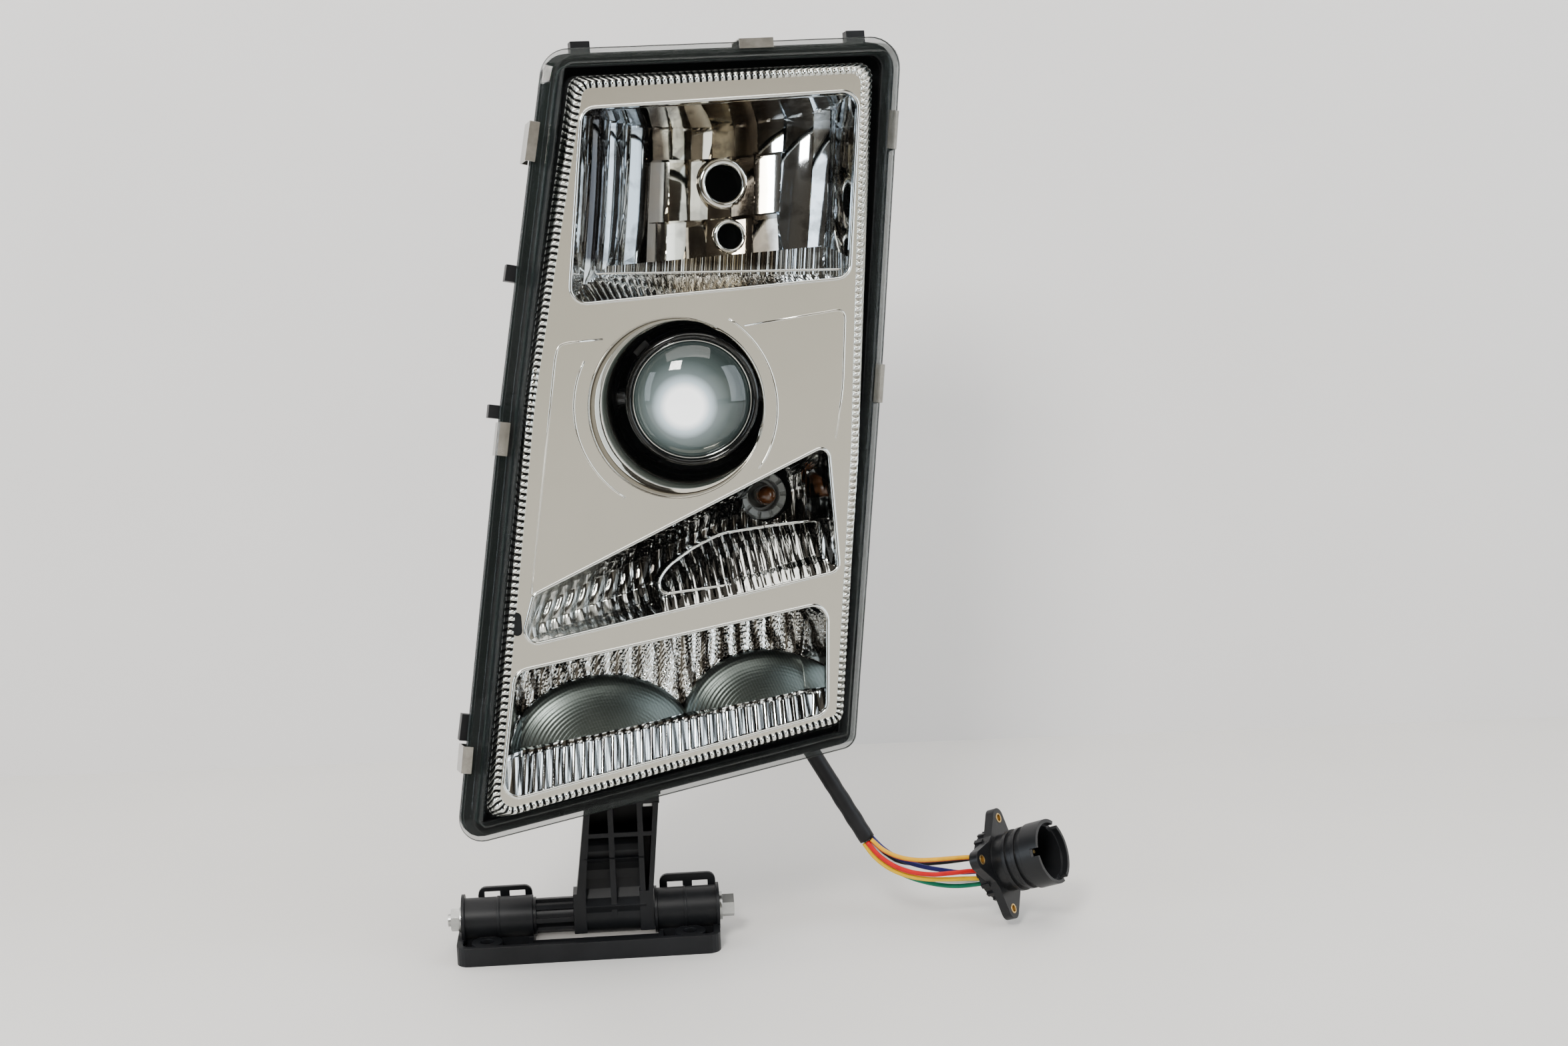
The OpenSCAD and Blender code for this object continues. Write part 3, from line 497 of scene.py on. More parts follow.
def fluted_border():
    """Bright border that slopes from the bezel's plate down to the seal, with moulded flutes.

    Between two outlines the border goes by a way s; a flute adds the absolute sine of the length along."""
    counts = even_counts(bezel_outline, 0.5)
    top, foot = (ring(c, d, 30, counts) for c, d in ((bezel_outline, 0), (lens_outline, 11.6)))
    length = np.concatenate([[0], np.cumsum(np.linalg.norm(np.diff(top, axis=0), axis=1))])
    flutes = round(length[-1] / FLUTE_PITCH)
    wave = np.abs(np.sin(np.pi * flutes * length / (length[-1] + 0.5)))
    rim, edge = (ring(bezel_outline, d, 30, counts) for d in (4.0, 1.0))
    rows = [on_face(rim[:, 0], rim[:, 1], BEZEL - 0.2), on_face(rim[:, 0], rim[:, 1], BEZEL + 0.1)]
    for k, high in ((0.12, 0.5), (0.3, 1.2), (0.6, 1.5), (1, 1.5)):
        p = rim * (1 - k) + edge * k
        rows.append(on_face(p[:, 0], p[:, 1], BEZEL + 0.15 + high * wave))
    for s, w, high in ((0.02, -8.3, 1.6), (0.1, -9.6, 1.6), (0.2, -12, 1.6), (0.34, -15.5, 1.6),
                       (0.46, -19, 1.4), (0.52, -21.5, 0.5), (0.55, -22.5, 0), (0.6, -29.5, 0)):
        p = top * (1 - s) + foot * s
        rows.append(on_face(p[:, 0], p[:, 1], w + high * wave))
    piece = mesh_from_grid("bezel_flutes", np.array(rows[::-1]), loop_cols=True)
    rise = piece.data.attributes.new("rise", "FLOAT", "POINT")
    rise.data.foreach_set("value", np.tile(wave, len(rows)).astype(np.float32))
    return shell(piece, 0.6)


def lip(name, corners, width=2.2, height=1.1, back=-3.0):
    """Rounded bright edge that stands round an opening and turns in behind it."""
    profile = [(0.6, BEZEL + back), (0.4, BEZEL)]
    for a in np.linspace(0, math.pi, 9)[1:]:
        profile.append((0.4 - width / 2 * (1 - math.cos(a)), BEZEL + height * math.sin(a)))
    profile.append((0.4 - width, BEZEL - 0.4))
    return carried(name, corners, profile[::-1])


def ridge(name, points, radius=0.8):
    """Embossed line: a low round bead laid along a path on the bezel."""
    p = np.array(points, float)
    p = p[np.append(True, np.linalg.norm(np.diff(p, axis=0), axis=1) > 0.02)]
    along = np.gradient(p, axis=0)
    along /= np.linalg.norm(along, axis=1)[:, None]
    side = np.stack([-along[:, 1], along[:, 0]], -1)
    t = np.linspace(0, np.pi, 7)
    rows = []
    for c, h in zip(np.cos(t), np.sin(t)):
        q = p + side * radius * c
        rows.append(on_face(q[:, 0], q[:, 1], BEZEL - 0.25 + radius * 0.6 * h))
    return tube(name, np.array(rows).transpose(1, 0, 2))


def rounded_path(points, radius=6, steps=8):
    """A polyline whose corners are turned into quadratic curves."""
    p = np.array(points, float)
    out = [p[:1]]
    for a, b, c in zip(p[:-2], p[1:-1], p[2:]):
        d1, d2 = np.linalg.norm(a - b), np.linalg.norm(c - b)
        s, e = b + (a - b) * min(radius / d1, 0.5), b + (c - b) * min(radius / d2, 0.5)
        t = np.linspace(0, 1, steps)[:, None]
        out.append((1 - t) ** 2 * s + 2 * t * (1 - t) * b + t ** 2 * e)
    return np.vstack(out + [p[-1:]])


def arc(centre, radius, start, stop, count=24):
    """Points on a circle from one angle to another, in degrees."""
    t = np.radians(np.linspace(start, stop, count))
    return [(centre[0] + radius * math.cos(a), centre[1] + radius * math.sin(a)) for a in t]


def embossing():
    """Beads: the outlines of two raised panels, left and right of the round dish, and an arc beside each."""
    outlines = [[(-104.5, -101), (-79, 40), (-76, 46), (-50, 47)],
                [(38, 50), (103, 57), (98, 10), (91, -22)]]
    paths = [rounded_path(outline, 7) for outline in outlines]
    paths += [arc(DISH_AT, 63, 150, 235), arc(DISH_AT, 63, -40, 55)]
    return joined("bezel_embossing", [ridge("bead", path) for path in paths])


# ---- Bright reflectors ----

def bilinear(corners, s, t):
    """Across s and up t inside four corners given as top right, top left, bottom left, bottom right."""
    tr, tl, bl, br = (np.array(c[:2], float) for c in corners)
    s, t = s[..., None], t[..., None]
    return (bl * (1 - s) + br * s) * (1 - t) + (tl * (1 - s) + tr * s) * t


def field(name, corners, s, t, depth, holes=(), degrees=9, grow=0.02):
    """A bright surface over an opening: depth is its w at every (s, t); faces inside a hole are left out.

    The opening's corners move away from its middle by the share grow, so the edge lies behind the plate."""
    middle = np.mean([c[:2] for c in corners], axis=0)
    wide = [c + (c - middle) * grow for c in (np.array(corner[:2]) for corner in corners)]
    p = bilinear(wide, *np.meshgrid(s, t))
    w = depth(*np.meshgrid(s, t), p[..., 0], p[..., 1])
    centre = (p[:-1, :-1] + p[:-1, 1:] + p[1:, :-1] + p[1:, 1:]) / 4
    gone = np.zeros(centre.shape[:2], bool)
    for at, radius in holes:
        gone |= ((centre - at) ** 2).sum(-1) < radius ** 2
    piece = mesh_from_grid(name, on_face(p[..., 0], p[..., 1], w), gone=gone)
    return sharpened(piece, degrees)


def facets(x, lines, bulge):
    """For sorted lines: the strip that x is in, and a rounded rise across it that is zero on the lines."""
    lines = np.array(lines, float)
    i = np.clip(np.searchsorted(lines, x, "right") - 1, 0, len(lines) - 2)
    at = (x - lines[i]) / (lines[i + 1] - lines[i])
    return i, at, bulge * (1 - (2 * at - 1) ** 2)


def steps_between(lines, per_strip, gap=0.02):
    """Places along a direction: per_strip inside each strip and a close pair at each line."""
    out = []
    for a, b in zip(lines[:-1], lines[1:]):
        out.append(np.linspace(a + gap * (b - a), b - gap * (b - a), per_strip))
    return np.concatenate([[lines[0]], *out, [lines[-1]]])


MAIN_COLUMNS = [0, .075, .15, .235, .32, .40, .475, .555, .635, .715, .80, .90, 1.0]
MAIN_ROWS = [0, .205, .42, .745, .96, 1.0]


def main_depth(S, T, u, v):
    """Deep in the middle, with upright facets that each bulge; the middle ones are stepped in rows.

    A fluted sill tapers to the right, a ribbed strip lies above it, and the left side slopes."""
    i, a, bulge = facets(S, MAIN_COLUMNS, 1.0)
    j, b, _ = facets(T, MAIN_ROWS, 0.0)
    left, right = np.array(MAIN_COLUMNS)[i], np.array(MAIN_COLUMNS)[i + 1]
    bowl = [-70 + 54 * (np.abs(x - 0.56) / 0.56) ** 1.7 for x in (left, right)]
    bowl = bowl[0] * (1 - a) + bowl[1] * a
    middle = np.where((left > 0.31) & (right < 0.81), 1.0, 0.0)
    lean = 1.0 * np.sin(2.3 * i + 1.9 * j * middle) * (a - 0.5)
    lean += middle * (0.14 + 0.12 * np.sin(2.1 * i + 1.7 * j)) * (0.5 - b) * 36 + middle * 1.4 * (j % 2)
    w = bowl + bulge * (1.0 - 0.55 * middle) - 5 * (1 - middle) * (2 * T - 1.1) ** 2 + lean
    edge = np.minimum(1, 20 * (1 - S))
    w = w * edge + (1 - edge) * -9.5
    sill = 0.17 - 0.13 * S
    slope = -10 - 30 * np.minimum(T / sill, 1) ** 0.8
    slope += 1.3 * np.abs(np.sin(np.pi * (38 * S - 9 * (1 - T / sill) * (0.25 - S))))
    ribs = -42 + 1.0 * np.abs(np.sin(np.pi * 90 * S)) + 0 * T
    w = np.where(T < 0.205, np.maximum(w, ribs), w)
    w = np.where(T < sill, np.maximum(w, slope), w)
    w = np.maximum(w, -12 - 26 * ((1 - T) / 0.04))
    return np.maximum(w, -9.5 - 26 * S / (0.02 + 0.075 * (1 - T)))


def sill_line():
    """Bright round line along the top of the sill."""
    s = np.linspace(0.09, 0.985, 40)
    p = bilinear(upper_opening, s, 0.175 - 0.13 * s)
    path = on_face(p[:, 0], p[:, 1], np.interp(s, [0.09, 0.985], [-38, -16]))
    rings, _ = swept(path, 0.8 * MM, 12, 2)
    return tube("sill_line", rings)


def main_bowl():
    """The main reflector's surface, with points close together where its facets meet."""
    s = np.unique(np.concatenate([steps_between(MAIN_COLUMNS, 6), np.linspace(0, 1, 300)]))
    rows = [np.linspace(a + .003, b - .003, 22) for a, b in zip(MAIN_ROWS[1:4], MAIN_ROWS[2:5])]
    t = np.concatenate([np.linspace(0, .204, 22), *rows, np.linspace(.962, 1, 4)])
    holes = ((MAIN_HOLE, MAIN_HOLE_R + 2.5), (POSITION_HOLE, POSITION_HOLE_R + 1.6))
    return field("main_bowl", upper_opening, s, t, main_depth, holes)


def hole_collar(name, centre, radius, w, width=4.8, deep=10):
    """Bright raised ring round a lamp hole, with a short throat behind it."""
    profile = [(radius, w - deep), (radius, w + 0.5)]
    for a in np.linspace(math.pi, 0, 12)[1:]:
        profile.append((radius + width / 2 + width / 2 * math.cos(a), w + 0.5 + 2.0 * math.sin(a)))
    profile.append((radius + width, w - 4))
    return shell(mesh_from_grid(name, turned_on(on_face, centre, profile)[::-1], loop_cols=True), 0.4)


TROUGH = [(83.3, -99.5), (22.8, -106.4), (-23.5, -108.5), (-25.5, -101), (-18.2, -92.6), (-0.7, -82.7),
          (18.8, -75.3), (50, -73), (83, -72)]


def turn_depth(S, T, u, v):
    """Deeper to the right, with upright waves; the lower right part is a trough with finer flutes."""
    base = -12 - 34 * np.clip(S / 0.75, 0, 1) ** 0.8 * np.clip(1.7 * np.minimum(T + 0.25, 1.3 - T), 0, 1)
    flutes = np.abs(np.sin(np.pi * (24 * S + 0.5 * np.sin(9 * S) + 0.25 * np.sin(5 * T))))
    pillows = 0.5 * np.sin(16 * T + 3 * S)
    w = base + 1.7 * flutes + pillows
    edge_u, edge_v = (np.array(x) for x in zip(*TROUGH[3:]))
    brim = np.interp(u, edge_u, edge_v)
    inside = (u > edge_u[0]) & (v < brim)
    floor = -15 - 20 * np.clip((v + 110) / (brim + 110), 0, 1) ** 1.5
    floor += 1.2 * np.abs(np.sin(np.pi * u / 4.6))
    w = np.where(inside, floor, w)
    edge = np.clip(16 * np.minimum(np.minimum(S, 1 - S), np.minimum(T, 1 - T) * 0.4), 0, 1)
    return w * edge + (1 - edge) * -9.5


def trough_rim():
    """Bright rounded rim round the trough, following its outline and sinking with it."""
    p = rounded_path(TROUGH, 5)
    depth = np.interp(p[:, 1], [-109, -92, -74], [-13.5, -20, -27])
    path = on_face(p[:, 0], p[:, 1], depth)
    rings, _ = swept(path, 1.0 * MM, 12, 2)
    return tube("trough_rim", rings)


DOMES = ((-64, -203, 60, 48), (38, -192, 52, 43))  # middle across and up, half width, half height


def lower_depth(S, T, u, v):
    """Two shallow domes that meet at a divider, upright flutes behind them and a fluted strip in front."""
    back = -34 + 1.8 * np.abs(np.sin(np.pi * (17 * S + 0.4 * np.sin(7 * S))))
    domes = []
    for at_u, at_v, a, b in DOMES:
        way = np.sqrt(((u - at_u) / a) ** 2 + ((v - at_v) / b) ** 2)
        domes.append(-33 + 17 * np.sqrt(np.maximum(1 - way ** 2, 0)) + 0.13 * np.sin(way * b * 3.2))
    dome = np.maximum(*domes)
    w = np.where(dome > -32.9, np.maximum(dome, back - 4), back)
    front = 0.36 - 0.13 * S
    strip = -11 - 7 * T / front + 1.6 * np.abs(np.sin(np.pi * 34 * S)) * (T < front * 0.9)
    w = np.where(T < front, strip, w)
    edge = np.clip(16 * np.minimum(S, 1 - S), 0, 1)
    return w * edge + (1 - edge) * -9.5


# ---- Projector ----

def blended_dish():
    """Bright dish like a trumpet's bell between the round cut in the plate and the projector's ring.

    Sideways a point goes evenly from the outer to the inner circle; backwards, by a power of the way."""
    t = np.linspace(0, 2 * np.pi, 128, endpoint=False)
    x, y = np.cos(t), np.sin(t)
    outer = on_face(DISH_AT[0] + DISH_R * x, DISH_AT[1] + DISH_R * y, BEZEL)
    inner = on_beam(DISH_INNER_R * x, DISH_INNER_R * y, -8.0)
    rows = [outer + OUT * 0.5 * MM]
    for s in np.linspace(0, 1, 28):
        row = outer * (1 - s) + inner * s
        back = s ** 2.4
        row[:, 1] = outer[:, 1] * (1 - back) + inner[:, 1] * back
        rows.append(row)
    rows.append(inner + np.array([0, 3, 0]) * MM)
    return shell(mesh_from_grid("dish_bowl", np.array(rows), loop_cols=True), 0.8)


GLASS_R, GLASS_RISE = 35.2, 13.5


def projector_face():
    """The ring and the domed glass in it: the height is a power of one minus the radius squared."""
    ring_profile = [(RING_R, -8), (RING_R, 1.5), (RING_R - 0.4, 2.9), (RING_R - 1.6, 3.5), (38.2, 3.5),
                    (37.2, 3.0), (36.4, 1.6), (35.6, 0.8), (35.4, -2)]
    ring_turned = turned_on(on_beam, (0, 0), ring_profile)
    ring_piece = mesh_from_grid("lens_bezel_ring", ring_turned, loop_cols=True)
    radii = np.linspace(0.3, GLASS_R, 30)
    dome = list(zip(radii, GLASS_RISE * (1 - (radii / GLASS_R) ** 2) ** 0.62 + 0.2))
    back = [(GLASS_R, -1.5), (20, -1.5), (0.3, -1.5)]
    glass = tube("projector_dome", turned_on(on_beam, (0, 0), (dome + back)[::-1]))
    return shell(ring_piece, 0.8), sharpened(glass, 50)


# ---- Finishes ----

def face_glass():
    """Clear moulded cover: see-through with Fresnel gloss, and a darker grey-green foot."""
    s = Shader("clear_glass")
    out = s.axis(OUT, FACE_AT)
    foot = (out * -1).step(19, 24)
    clear = s.node("ShaderNodeBsdfTransparent", {}, {"Color": (0.975, 0.982, 0.978)})
    ripple = s.bump(s.noise(30.0, 2.0), 0.00003, 0.3)
    gloss = s.surface(Base_Color=s.mix(foot, (0.03, 0.034, 0.033), (0.022, 0.034, 0.031)), Roughness=0.03,
                      Specular_IOR_Level=0.7, Normal=ripple)
    fresnel = s.node("ShaderNodeFresnel", {}, {"IOR": 1.45})
    side = (out * -1).step(5, 8)
    factor = (fresnel * (side * 0.3 + 0.32) + foot * 0.3).clamp()
    return s.finish(s.node("ShaderNodeMixShader", {}, {0: factor, 1: clear, 2: gloss}))


def fluted_chrome():
    """Bright flutes with painted highlights on their crests and painted shade in their valleys, a painted
    paler sheen on the right, that end in black towards the seal.
    """
    s = Shader("fluted_chrome")
    rise = s.node("ShaderNodeAttribute", {"attribute_name": "rise"}, out="Fac")
    u, out = s.axis(ACROSS, FACE_AT), s.axis(OUT, FACE_AT)
    # painted sheen: the valleys are painted paler on the right
    pale = (u + s.axis(UP, FACE_AT) * 0.05).step(70, 92)
    painted_valley_shade = s.mix(pale, (0.012, 0.012, 0.012), (0.50, 0.48, 0.43))
    # painted highlight on the flutes' crests and painted shade in their valleys, picked by each flute's rise
    tone = s.mix((rise + s.noise(240.0) * 0.3 - 0.15).step(0.45, 0.7), painted_valley_shade, (0.84, 0.83, 0.79))
    deep = (out * -1).step(15, 16.5)
    return s.finish(s.surface(Base_Color=s.mix(deep, tone, (0.006, 0.006, 0.006)), Metallic=1.0 - deep,
                              Roughness=deep * 0.1 + 0.1))


def chrome_with_painted_reflections(name, pitch, dark, cover, fine=0.0):
    """Mirror with painted reflections in bands: a sine across the face, moved by noise, picks a bright or a
    dark base.
    """
    s = Shader(name)
    u, v = s.axis(ACROSS, FACE_AT), s.axis(UP, FACE_AT)
    push = s.noise(24.0, 4.0, 0.6) * 2.2 + v * 0.012
    band = (u / pitch + push).wave()
    thin = (u / pitch * 3.4 + s.noise(60.0) * 1.5).wave()
    patch = s.noise(17.0, 3.0, 0.5).step(0.36, 0.62)
    # painted reflections: bright and dark bands and patches in the base colour
    bright = (band * (1.0 - fine) + thin * fine) * 0.62 + patch * 0.5
    tone = s.mix(bright.step(cover - 0.1, cover + 0.1), dark, (0.88, 0.88, 0.87))
    return s, u, v, tone


def turn_chrome():
    """Painted reflections: mostly dark, broken bands that go over to a soft grey on the left."""
    s, u, _, tone = chrome_with_painted_reflections("turn_chrome", 6.5, (0.022, 0.02, 0.018), 0.60, 0.35)
    # painted reflection: a soft grey over the left side
    soft = (u * -1).step(40, 75)
    tone = s.mix(soft * 0.75, tone, (0.36, 0.36, 0.34))
    return s.finish(s.surface(Base_Color=tone, Metallic=1.0, Roughness=soft * 0.12 + 0.06))


def lower_chrome():
    """Painted reflections: two dull grey-green domes painted dark, with fine hatching of painted glints,
    below painted bands and above the fluted strip with its painted bright ribs.
    """
    s, u, v, tone = chrome_with_painted_reflections("lower_chrome", 11.0, (0.07, 0.062, 0.055), 0.45, 0.2)
    first, second = ((((u - at_u) / a) ** 2 + ((v - at_v) / b) ** 2) < 0.985 for at_u, at_v, a, b in DOMES)
    above = (v - (u + 126) * 0.1016) > -194.8
    dome = (first + second).clamp() * above
    # the domes: a dark painted reflection with a hatching of painted glints for their fine ridges
    painted_glint_hatch = ((u * 1.0 + v * 0.35) * 3.3).math("SINE") * 0.08 + s.noise(11.0, 3.0).step(0.3, 0.72)
    dull = s.mix(painted_glint_hatch.clamp(), (0.035, 0.042, 0.038), (0.17, 0.19, 0.18))
    strip = 1.0 - above
    # painted highlights: bright and dark ribs on the fluted strip
    painted_rib_glint = (u / 5.0 + s.noise(30.0) * 0.5).wave().step(0.25, 0.65)
    tone = s.mix(strip, tone, s.mix(painted_rib_glint, (0.10, 0.10, 0.10), (0.85, 0.87, 0.88)))
    tone = s.mix(dome, tone, dull)
    return s.finish(s.surface(Base_Color=tone, Metallic=1.0, Roughness=dome * 0.26 + 0.06))


def main_chrome():
    """Painted reflections in upright bands: blue-grey sides, a dark line beside them and a brownish middle.
    """
    s = Shader("main_chrome")
    u, v = s.axis(ACROSS, FACE_AT), s.axis(UP, FACE_AT)
    way = (u - (v - 69) * 0.09 + 62) / 174.0 + s.noise(40.0) * 0.02 - 0.01
    bands = s.ramp(way, [(0.0, (0.55, 0.56, 0.56)), (0.05, (0.05, 0.05, 0.055)), (0.10, (0.12, 0.12, 0.13)),
                         (0.13, (0.55, 0.60, 0.66)), (0.25, (0.48, 0.53, 0.58)), (0.28, (0.07, 0.06, 0.05)),
                         (0.34, (0.12, 0.10, 0.08)), (0.37, (0.62, 0.58, 0.50)), (0.48, (0.34, 0.30, 0.24)),
                         (0.60, (0.50, 0.46, 0.38)), (0.655, (0.14, 0.115, 0.09)),
                         (0.74, (0.30, 0.27, 0.23)), (0.77, (0.72, 0.77, 0.83)), (1.0, (0.84, 0.88, 0.92))])
    # painted reflection: dark patches from noise
    tone = s.mix(s.noise(60.0, 3.0).step(0.5, 0.62) * 0.5, bands, (0.10, 0.09, 0.08))
    # painted highlight: paler low down, along the sill
    low = (v * -1 + u * -0.075).step(-94, -90)
    return s.finish(s.surface(Base_Color=s.mix(low * 0.5, tone, (0.8, 0.8, 0.78)), Metallic=1.0,
                              Roughness=0.05, Normal=s.bump(s.noise(55.0), 0.0001, 0.5)))


def projector_glass():
    """Thick lens with a painted glow, as if filled with the light of the room: bright off centre, blue-grey
    towards its rim.
    """
    s = Shader("lens_painted_glow")
    x = s.axis((1, 0, 0), BEAM_AT) + 5.0
    y = s.axis((0, 0, 1), BEAM_AT) + 3.0
    away = ((x * x + y * y) ** 0.5) / 36.0
    # painted glow: emitted light that stands in for the room's light seen in the lens
    painted_glow = s.ramp(away, [(0.0, (1, 1, 1)), (0.30, (1, 1, 1)), (0.42, (0.36, 0.43, 0.47)),
                         (0.56, (0.07, 0.088, 0.09)), (0.78, (0.018, 0.025, 0.024)),
                         (1.0, (0.004, 0.006, 0.006))])
    # base painted darker towards the rim, with the glow
    tone = s.mix(away.clamp(), (0.10, 0.11, 0.11), (0.02, 0.026, 0.025))
    return s.finish(s.surface(Base_Color=tone, Roughness=0.02, Coat_Weight=0.5, Emission_Color=painted_glow,
                              Emission_Strength=2.6))


def amber_bulb_glass():
    """Amber glass painted dark, for the shade that it lies in within its cup."""
    s = Shader("amber_bulb_glass")
    # painted shade: the amber is darkened for its place deep in the cup
    tone = s.mix(s.noise(120.0).step(0.3, 0.7), (0.11, 0.035, 0.008), (0.05, 0.015, 0.004))
    return s.finish(s.surface(Base_Color=tone, Roughness=0.06, Coat_Weight=0.7))


def moulded(name, colour, rough=0.45, edge=0.3):
    """Plain moulded plastic or rubber with a fine grain."""
    s = Shader(name)
    tone = s.mix(s.noise(40.0, 4.0).step(0.3, 0.75), colour, tuple(c * 0.8 for c in colour))
    normal = s.bump(s.noise(1500.0), 0.00005, 0.5, s.rounded_edges(edge))
    return s.finish(s.surface(Base_Color=tone, Roughness=rough + s.noise(60.0) * 0.1, Normal=normal,
                              Specular_IOR_Level=0.3))


FINISHES = {
    "nylon": black_plastic("black_nylon"),
    "bush": black_plastic("black_bush", (0.006, 0.0062, 0.007), 0.34, 0.4),
    "shell": black_plastic("connector_nylon", (0.0045, 0.0048, 0.0055), 0.34, 0.5, shine=0.25),
    "gloss": black_lacquer("gloss_black"),
    "zinc": steel("zinc_steel", (0.50, 0.51, 0.50), 0.3),
    "spring": steel("spring_steel", (0.46, 0.45, 0.42), 0.22),
    "dark": steel("dark_metal", (0.16, 0.16, 0.17), 0.4),
    "alloy": steel("grey_alloy", (0.5, 0.5, 0.52), 0.42),
    "brass": steel("yellow_brass", (0.72, 0.5, 0.2), 0.28),
    "chrome": chrome("bright_chrome"),
    "dish": chrome("dish_chrome", (0.40, 0.375, 0.33), 0.05, 0.0003),
    "champagne": chrome("warm_chrome", (0.83, 0.80, 0.74), 0.09, 0.00005),
    "rubber": moulded("black_rubber", (0.004, 0.004, 0.0045), 0.6),
    "white": moulded("white_plastic", (0.7, 0.7, 0.68), 0.4),
    "grey": moulded("grey_plastic", (0.45, 0.47, 0.47), 0.4),
    "quartz": moulded("pale_quartz", (0.8, 0.8, 0.82), 0.15, 0.1),
    "glass": face_glass(),
    "lens": projector_glass(),
    "fluted": fluted_chrome(),
    "turn": turn_chrome(),
    "lower": lower_chrome(),
    "main": main_chrome(),
    "amber": amber_bulb_glass(),
}
USES = {
    "nylon": "base_bracket hinge_arm housing bezel_plug",
    "bush": "spacer_bush arm_bush thrust_washer",
    "shell": "connector_shell connector_insert projector_cover main_cover breathers",
    "zinc": "hinge_bolt nut_washer hinge_nut arm_screws",
    "spring": "lens_clips ballast_screws pivot_post side_screw height_screw",
    "dark": "lens_ring shutter pivot_pins lens_holder",
    "alloy": "projector_frame ballast level_rod igniter projector_bowl",
    "brass": "connector_bushes connector_contacts",
    "chrome": "main_reflector turn_reflector lower_reflector projector_dish",
    "champagne": "bezel",
    "rubber": "lens_seal cover_seals holder_seal connector_seal cable_gland",
    "white": "level_motor",
    "grey": "turn_bulb_holder",
    "quartz": "xenon_burner",
    "amber": "turn_bulb",
    "glass": "lens",
    "lens": "projector_lens",
}


def finish_cad():
    """Gives every CAD node its finish."""
    for finish, names in USES.items():
        for name in names.split():
            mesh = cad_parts[name].data
            mesh.materials.clear()
            mesh.materials.append(FINISHES[finish])


# ---- Assembly of the lamp ----

def lamp():
    """Every new piece of the lamp, with its finish, its body and the CAD node that it stands for."""
    ring_piece, glass = projector_face()
    across, up = np.linspace(0, 1, 420), np.linspace(0, 1, 90)
    turn = field("turn_bowl", turn_opening, across, up, turn_depth, ((TURN_HOLE, TURN_HOLE_R + 1),), 40)
    lower = field("lower_bowl", lower_opening, across, up, lower_depth, (), 40)
    for piece, finish, *replaced in (
            (glass_face(), "glass", "lens"),
            (fluted_border(), "fluted"),
            (lip("upper_lip", upper_opening), "chrome"),
            (lip("turn_lip", turn_opening), "chrome"),
            (lip("lower_lip", lower_opening), "chrome"),
            (embossing(), "champagne"),
            (shell(main_bowl(), 1.0), "main", "main_reflector"),
            (sill_line(), "chrome"),
            (hole_collar("main_collar", MAIN_HOLE, MAIN_HOLE_R, -68), "chrome"),
            (hole_collar("position_collar", POSITION_HOLE, POSITION_HOLE_R, -66, 3.4), "chrome"),
            (shell(turn, 1.0), "turn", "turn_reflector"),
            (trough_rim(), "chrome"),
            (shell(lower, 1.0), "lower", "lower_reflector"),
            (blended_dish(), "dish", "projector_dish")):
        dressed(piece, FINISHES[finish], "lamp", *replaced)
    dressed(ring_piece, FINISHES["gloss"], "projector", "lens_ring")
    dressed(glass, FINISHES["lens"], "projector", "projector_lens")
    lens_rim()
    turn_lamp()


def turn_lamp():
    """Notched ring, dark cup and small amber bulb of the turn light.

    The ring's front dips at ten notches; the bulb is a turned profile with a round tip."""
    t = np.linspace(0, 2 * np.pi, 240, endpoint=False)
    notch = (np.cos(10 * t) > 0.55) * 2.4
    x, y = np.cos(t), np.sin(t)
    rows = []
    for r, w, dip in ((9.6, -57, 0), (10.2, -49.6, 0), (10.6, -49, 0), (12.6, -48.4, 1), (14.2, -48.4, 1),
                      (14.8, -49, 1), (15, -51, 0)):
        rows.append(on_face(TURN_HOLE[0] + r * x, TURN_HOLE[1] + r * y, w - notch * dip))
    holder = mesh_from_grid("turn_holder_ring", np.array(rows)[::-1], loop_cols=True)
    dressed(shell(sharpened(holder, 35), 0.4), FINISHES["grey"], "turn lamp holder")
    tip = [(6.2 * math.cos(a), -44 + 8.5 * math.sin(a)) for a in np.linspace(0, 1.5, 12)]
    profile = [(0.3, -62), (4.5, -62), (5.2, -56), (6.2, -50)] + tip
    bulb = tube("amber_bulb", turned_on(on_face, TURN_HOLE, profile))
    dressed(sharpened(bulb, 50), FINISHES["amber"], "turn lamp holder", "turn_bulb")


def lens_rim():
    """Thin bright edge between the projector's glass and its black ring."""
    a = np.linspace(-0.6, math.pi, 9)
    profile = [(35.9 + 0.6 * math.cos(x), 0.9 + 0.6 * math.sin(x)) for x in a]
    piece = mesh_from_grid("lens_edge_ring", turned_on(on_beam, (0, 0), profile), loop_cols=True)
    dressed(shell(piece, 0.3), FINISHES["chrome"], "projector")


# ---- Table, wall and light ----

def stage_sheet(name, corners, colour):
    """A large plain surface of the set, with a faint mottle."""
    a, b, c, d = (np.array(x, float) for x in corners)
    s, t = np.meshgrid(np.linspace(0, 1, 12), np.linspace(0, 1, 12))
    s, t = s[..., None], t[..., None]
    piece = mesh_from_grid(name, (a * (1 - s) + b * s) * (1 - t) + (d * (1 - s) + c * s) * t)
    m = Shader(name + "_paint")
    tone = m.mix(m.noise(4.0, 4.0).step(0.3, 0.7), colour, tuple(x * 0.96 for x in colour))
    piece.data.materials.append(m.finish(m.surface(Base_Color=tone, Roughness=0.55)))


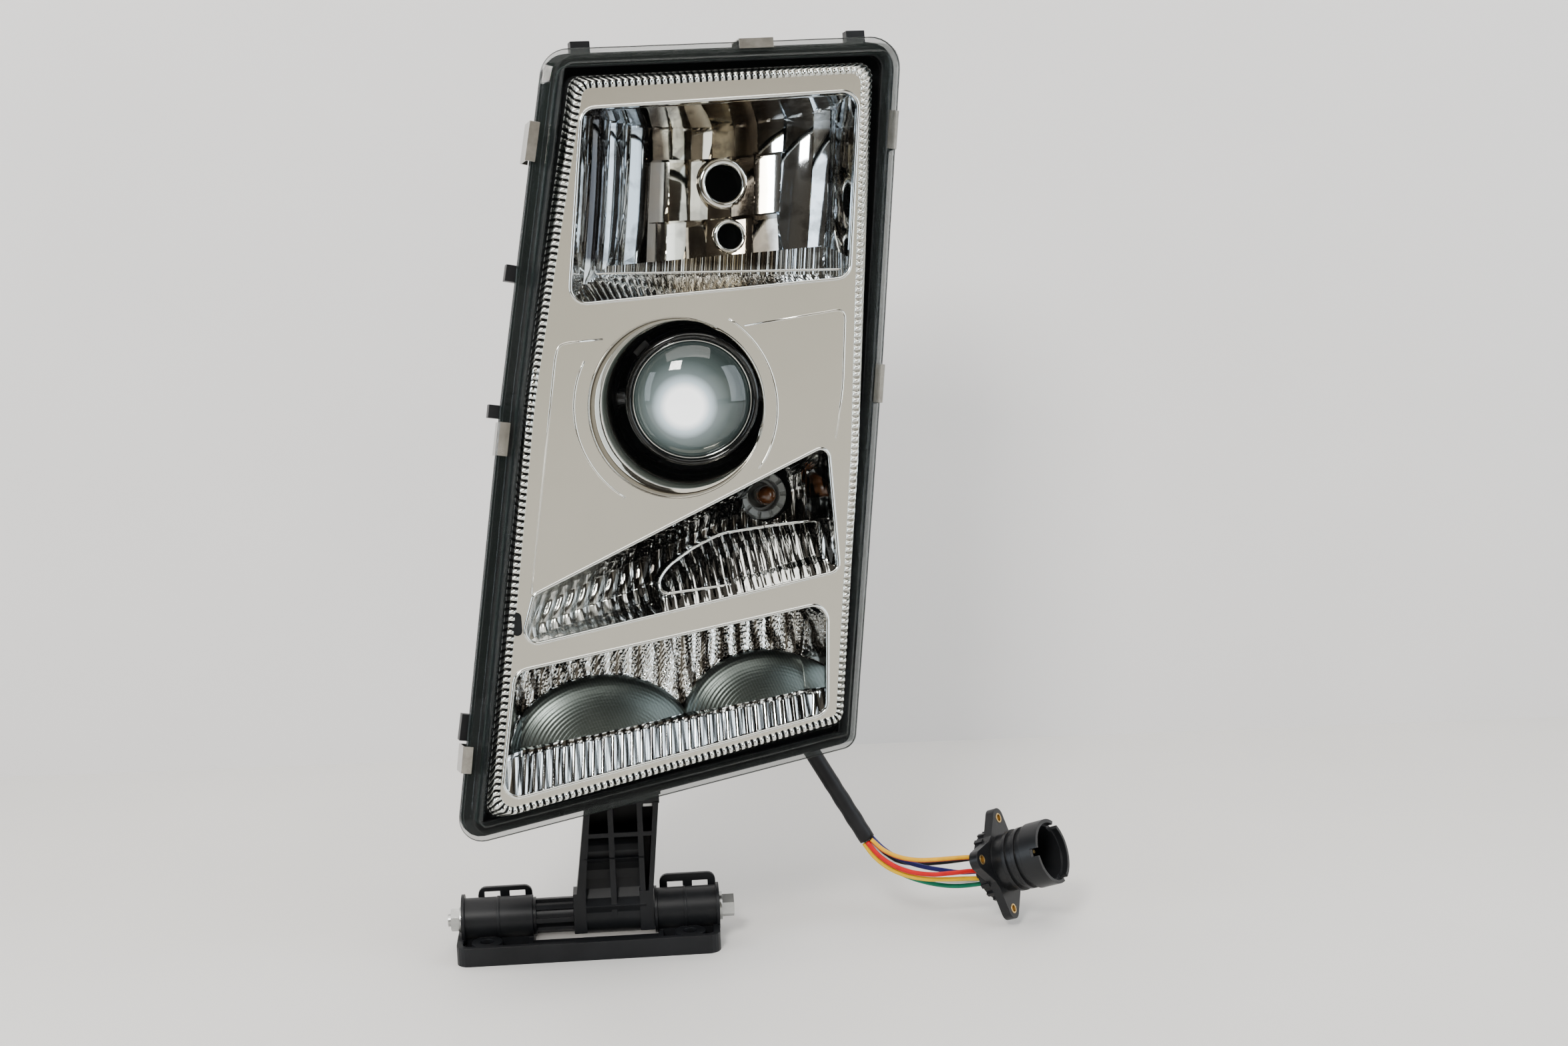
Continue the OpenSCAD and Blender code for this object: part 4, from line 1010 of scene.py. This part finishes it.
def studio():
    """Table, wall, four soft lights and a warm brown room with one bright side for the plate to mirror."""
    stage_sheet("table", [(-3, -3, 0), (3, -3, 0), (3, 0.312, 0), (-3, 0.608, 0)], (0.70, 0.685, 0.66))
    stage_sheet("wall", [(-3, 0.6, -0.002), (3, 0.304, -0.002), (3, 0.304, 3), (-3, 0.6, 3)],
                (0.72, 0.70, 0.685))
    for name, place, aim, power, size, colour in (
            ("key", (-0.5, -1.7, 1.6), (0, 0, 0.3), 44, 0.5, (1, 0.98, 0.95)),
            ("ceiling", (0.0, -0.6, 2.4), (0, 0, 0), 60, 2.2, (1, 0.97, 0.93)),
            ("left_window", (-1.7, -0.8, 0.75), (0, 0, 0.4), 24, 1.2, (0.82, 0.91, 1)),
            ("right_window", (1.6, -0.7, 0.7), (0, 0, 0.4), 24, 1.3, (0.84, 0.92, 1))):
        light = bpy.data.lights.new(name, "AREA")
        light.energy, light.size, light.color = power, size, colour
        lamp_at = bpy.data.objects.new(name, light)
        bpy.context.scene.collection.objects.link(lamp_at)
        lamp_at.location = place
        lamp_at.rotation_euler = (Vector(aim) - Vector(place)).to_track_quat("-Z", "Y").to_euler()
    world = bpy.data.worlds.new("room")
    bpy.context.scene.world = world
    world.use_nodes = True
    tree = world.node_tree
    tree.nodes.clear()
    make = tree.nodes.new
    way, toward, shade, ground, end = (make(k) for k in (
        "ShaderNodeTexCoord", "ShaderNodeVectorMath", "ShaderNodeValToRGB", "ShaderNodeBackground",
        "ShaderNodeOutputWorld"))
    toward.operation = "DOT_PRODUCT"
    toward.inputs[1].default_value = (0.462, -0.883, -0.06)
    stops = [(0.0, (0.10, 0.088, 0.075)), (0.80, (0.085, 0.07, 0.055)), (0.90, (0.17, 0.145, 0.115)),
             (0.945, (0.80, 0.74, 0.64)), (1.0, (1.0, 0.95, 0.86))]
    while len(shade.color_ramp.elements) < len(stops):
        shade.color_ramp.elements.new(1)
    for stop, (place, colour) in zip(shade.color_ramp.elements, stops):
        stop.position, stop.color = place, (*colour, 1)
    tree.links.new(way.outputs["Generated"], toward.inputs[0])
    tree.links.new(toward.outputs["Value"], shade.inputs["Fac"])
    tree.links.new(shade.outputs["Color"], ground.inputs["Color"])
    tree.links.new(ground.outputs["Background"], end.inputs["Surface"])


finish_cad()
lamp()
studio()
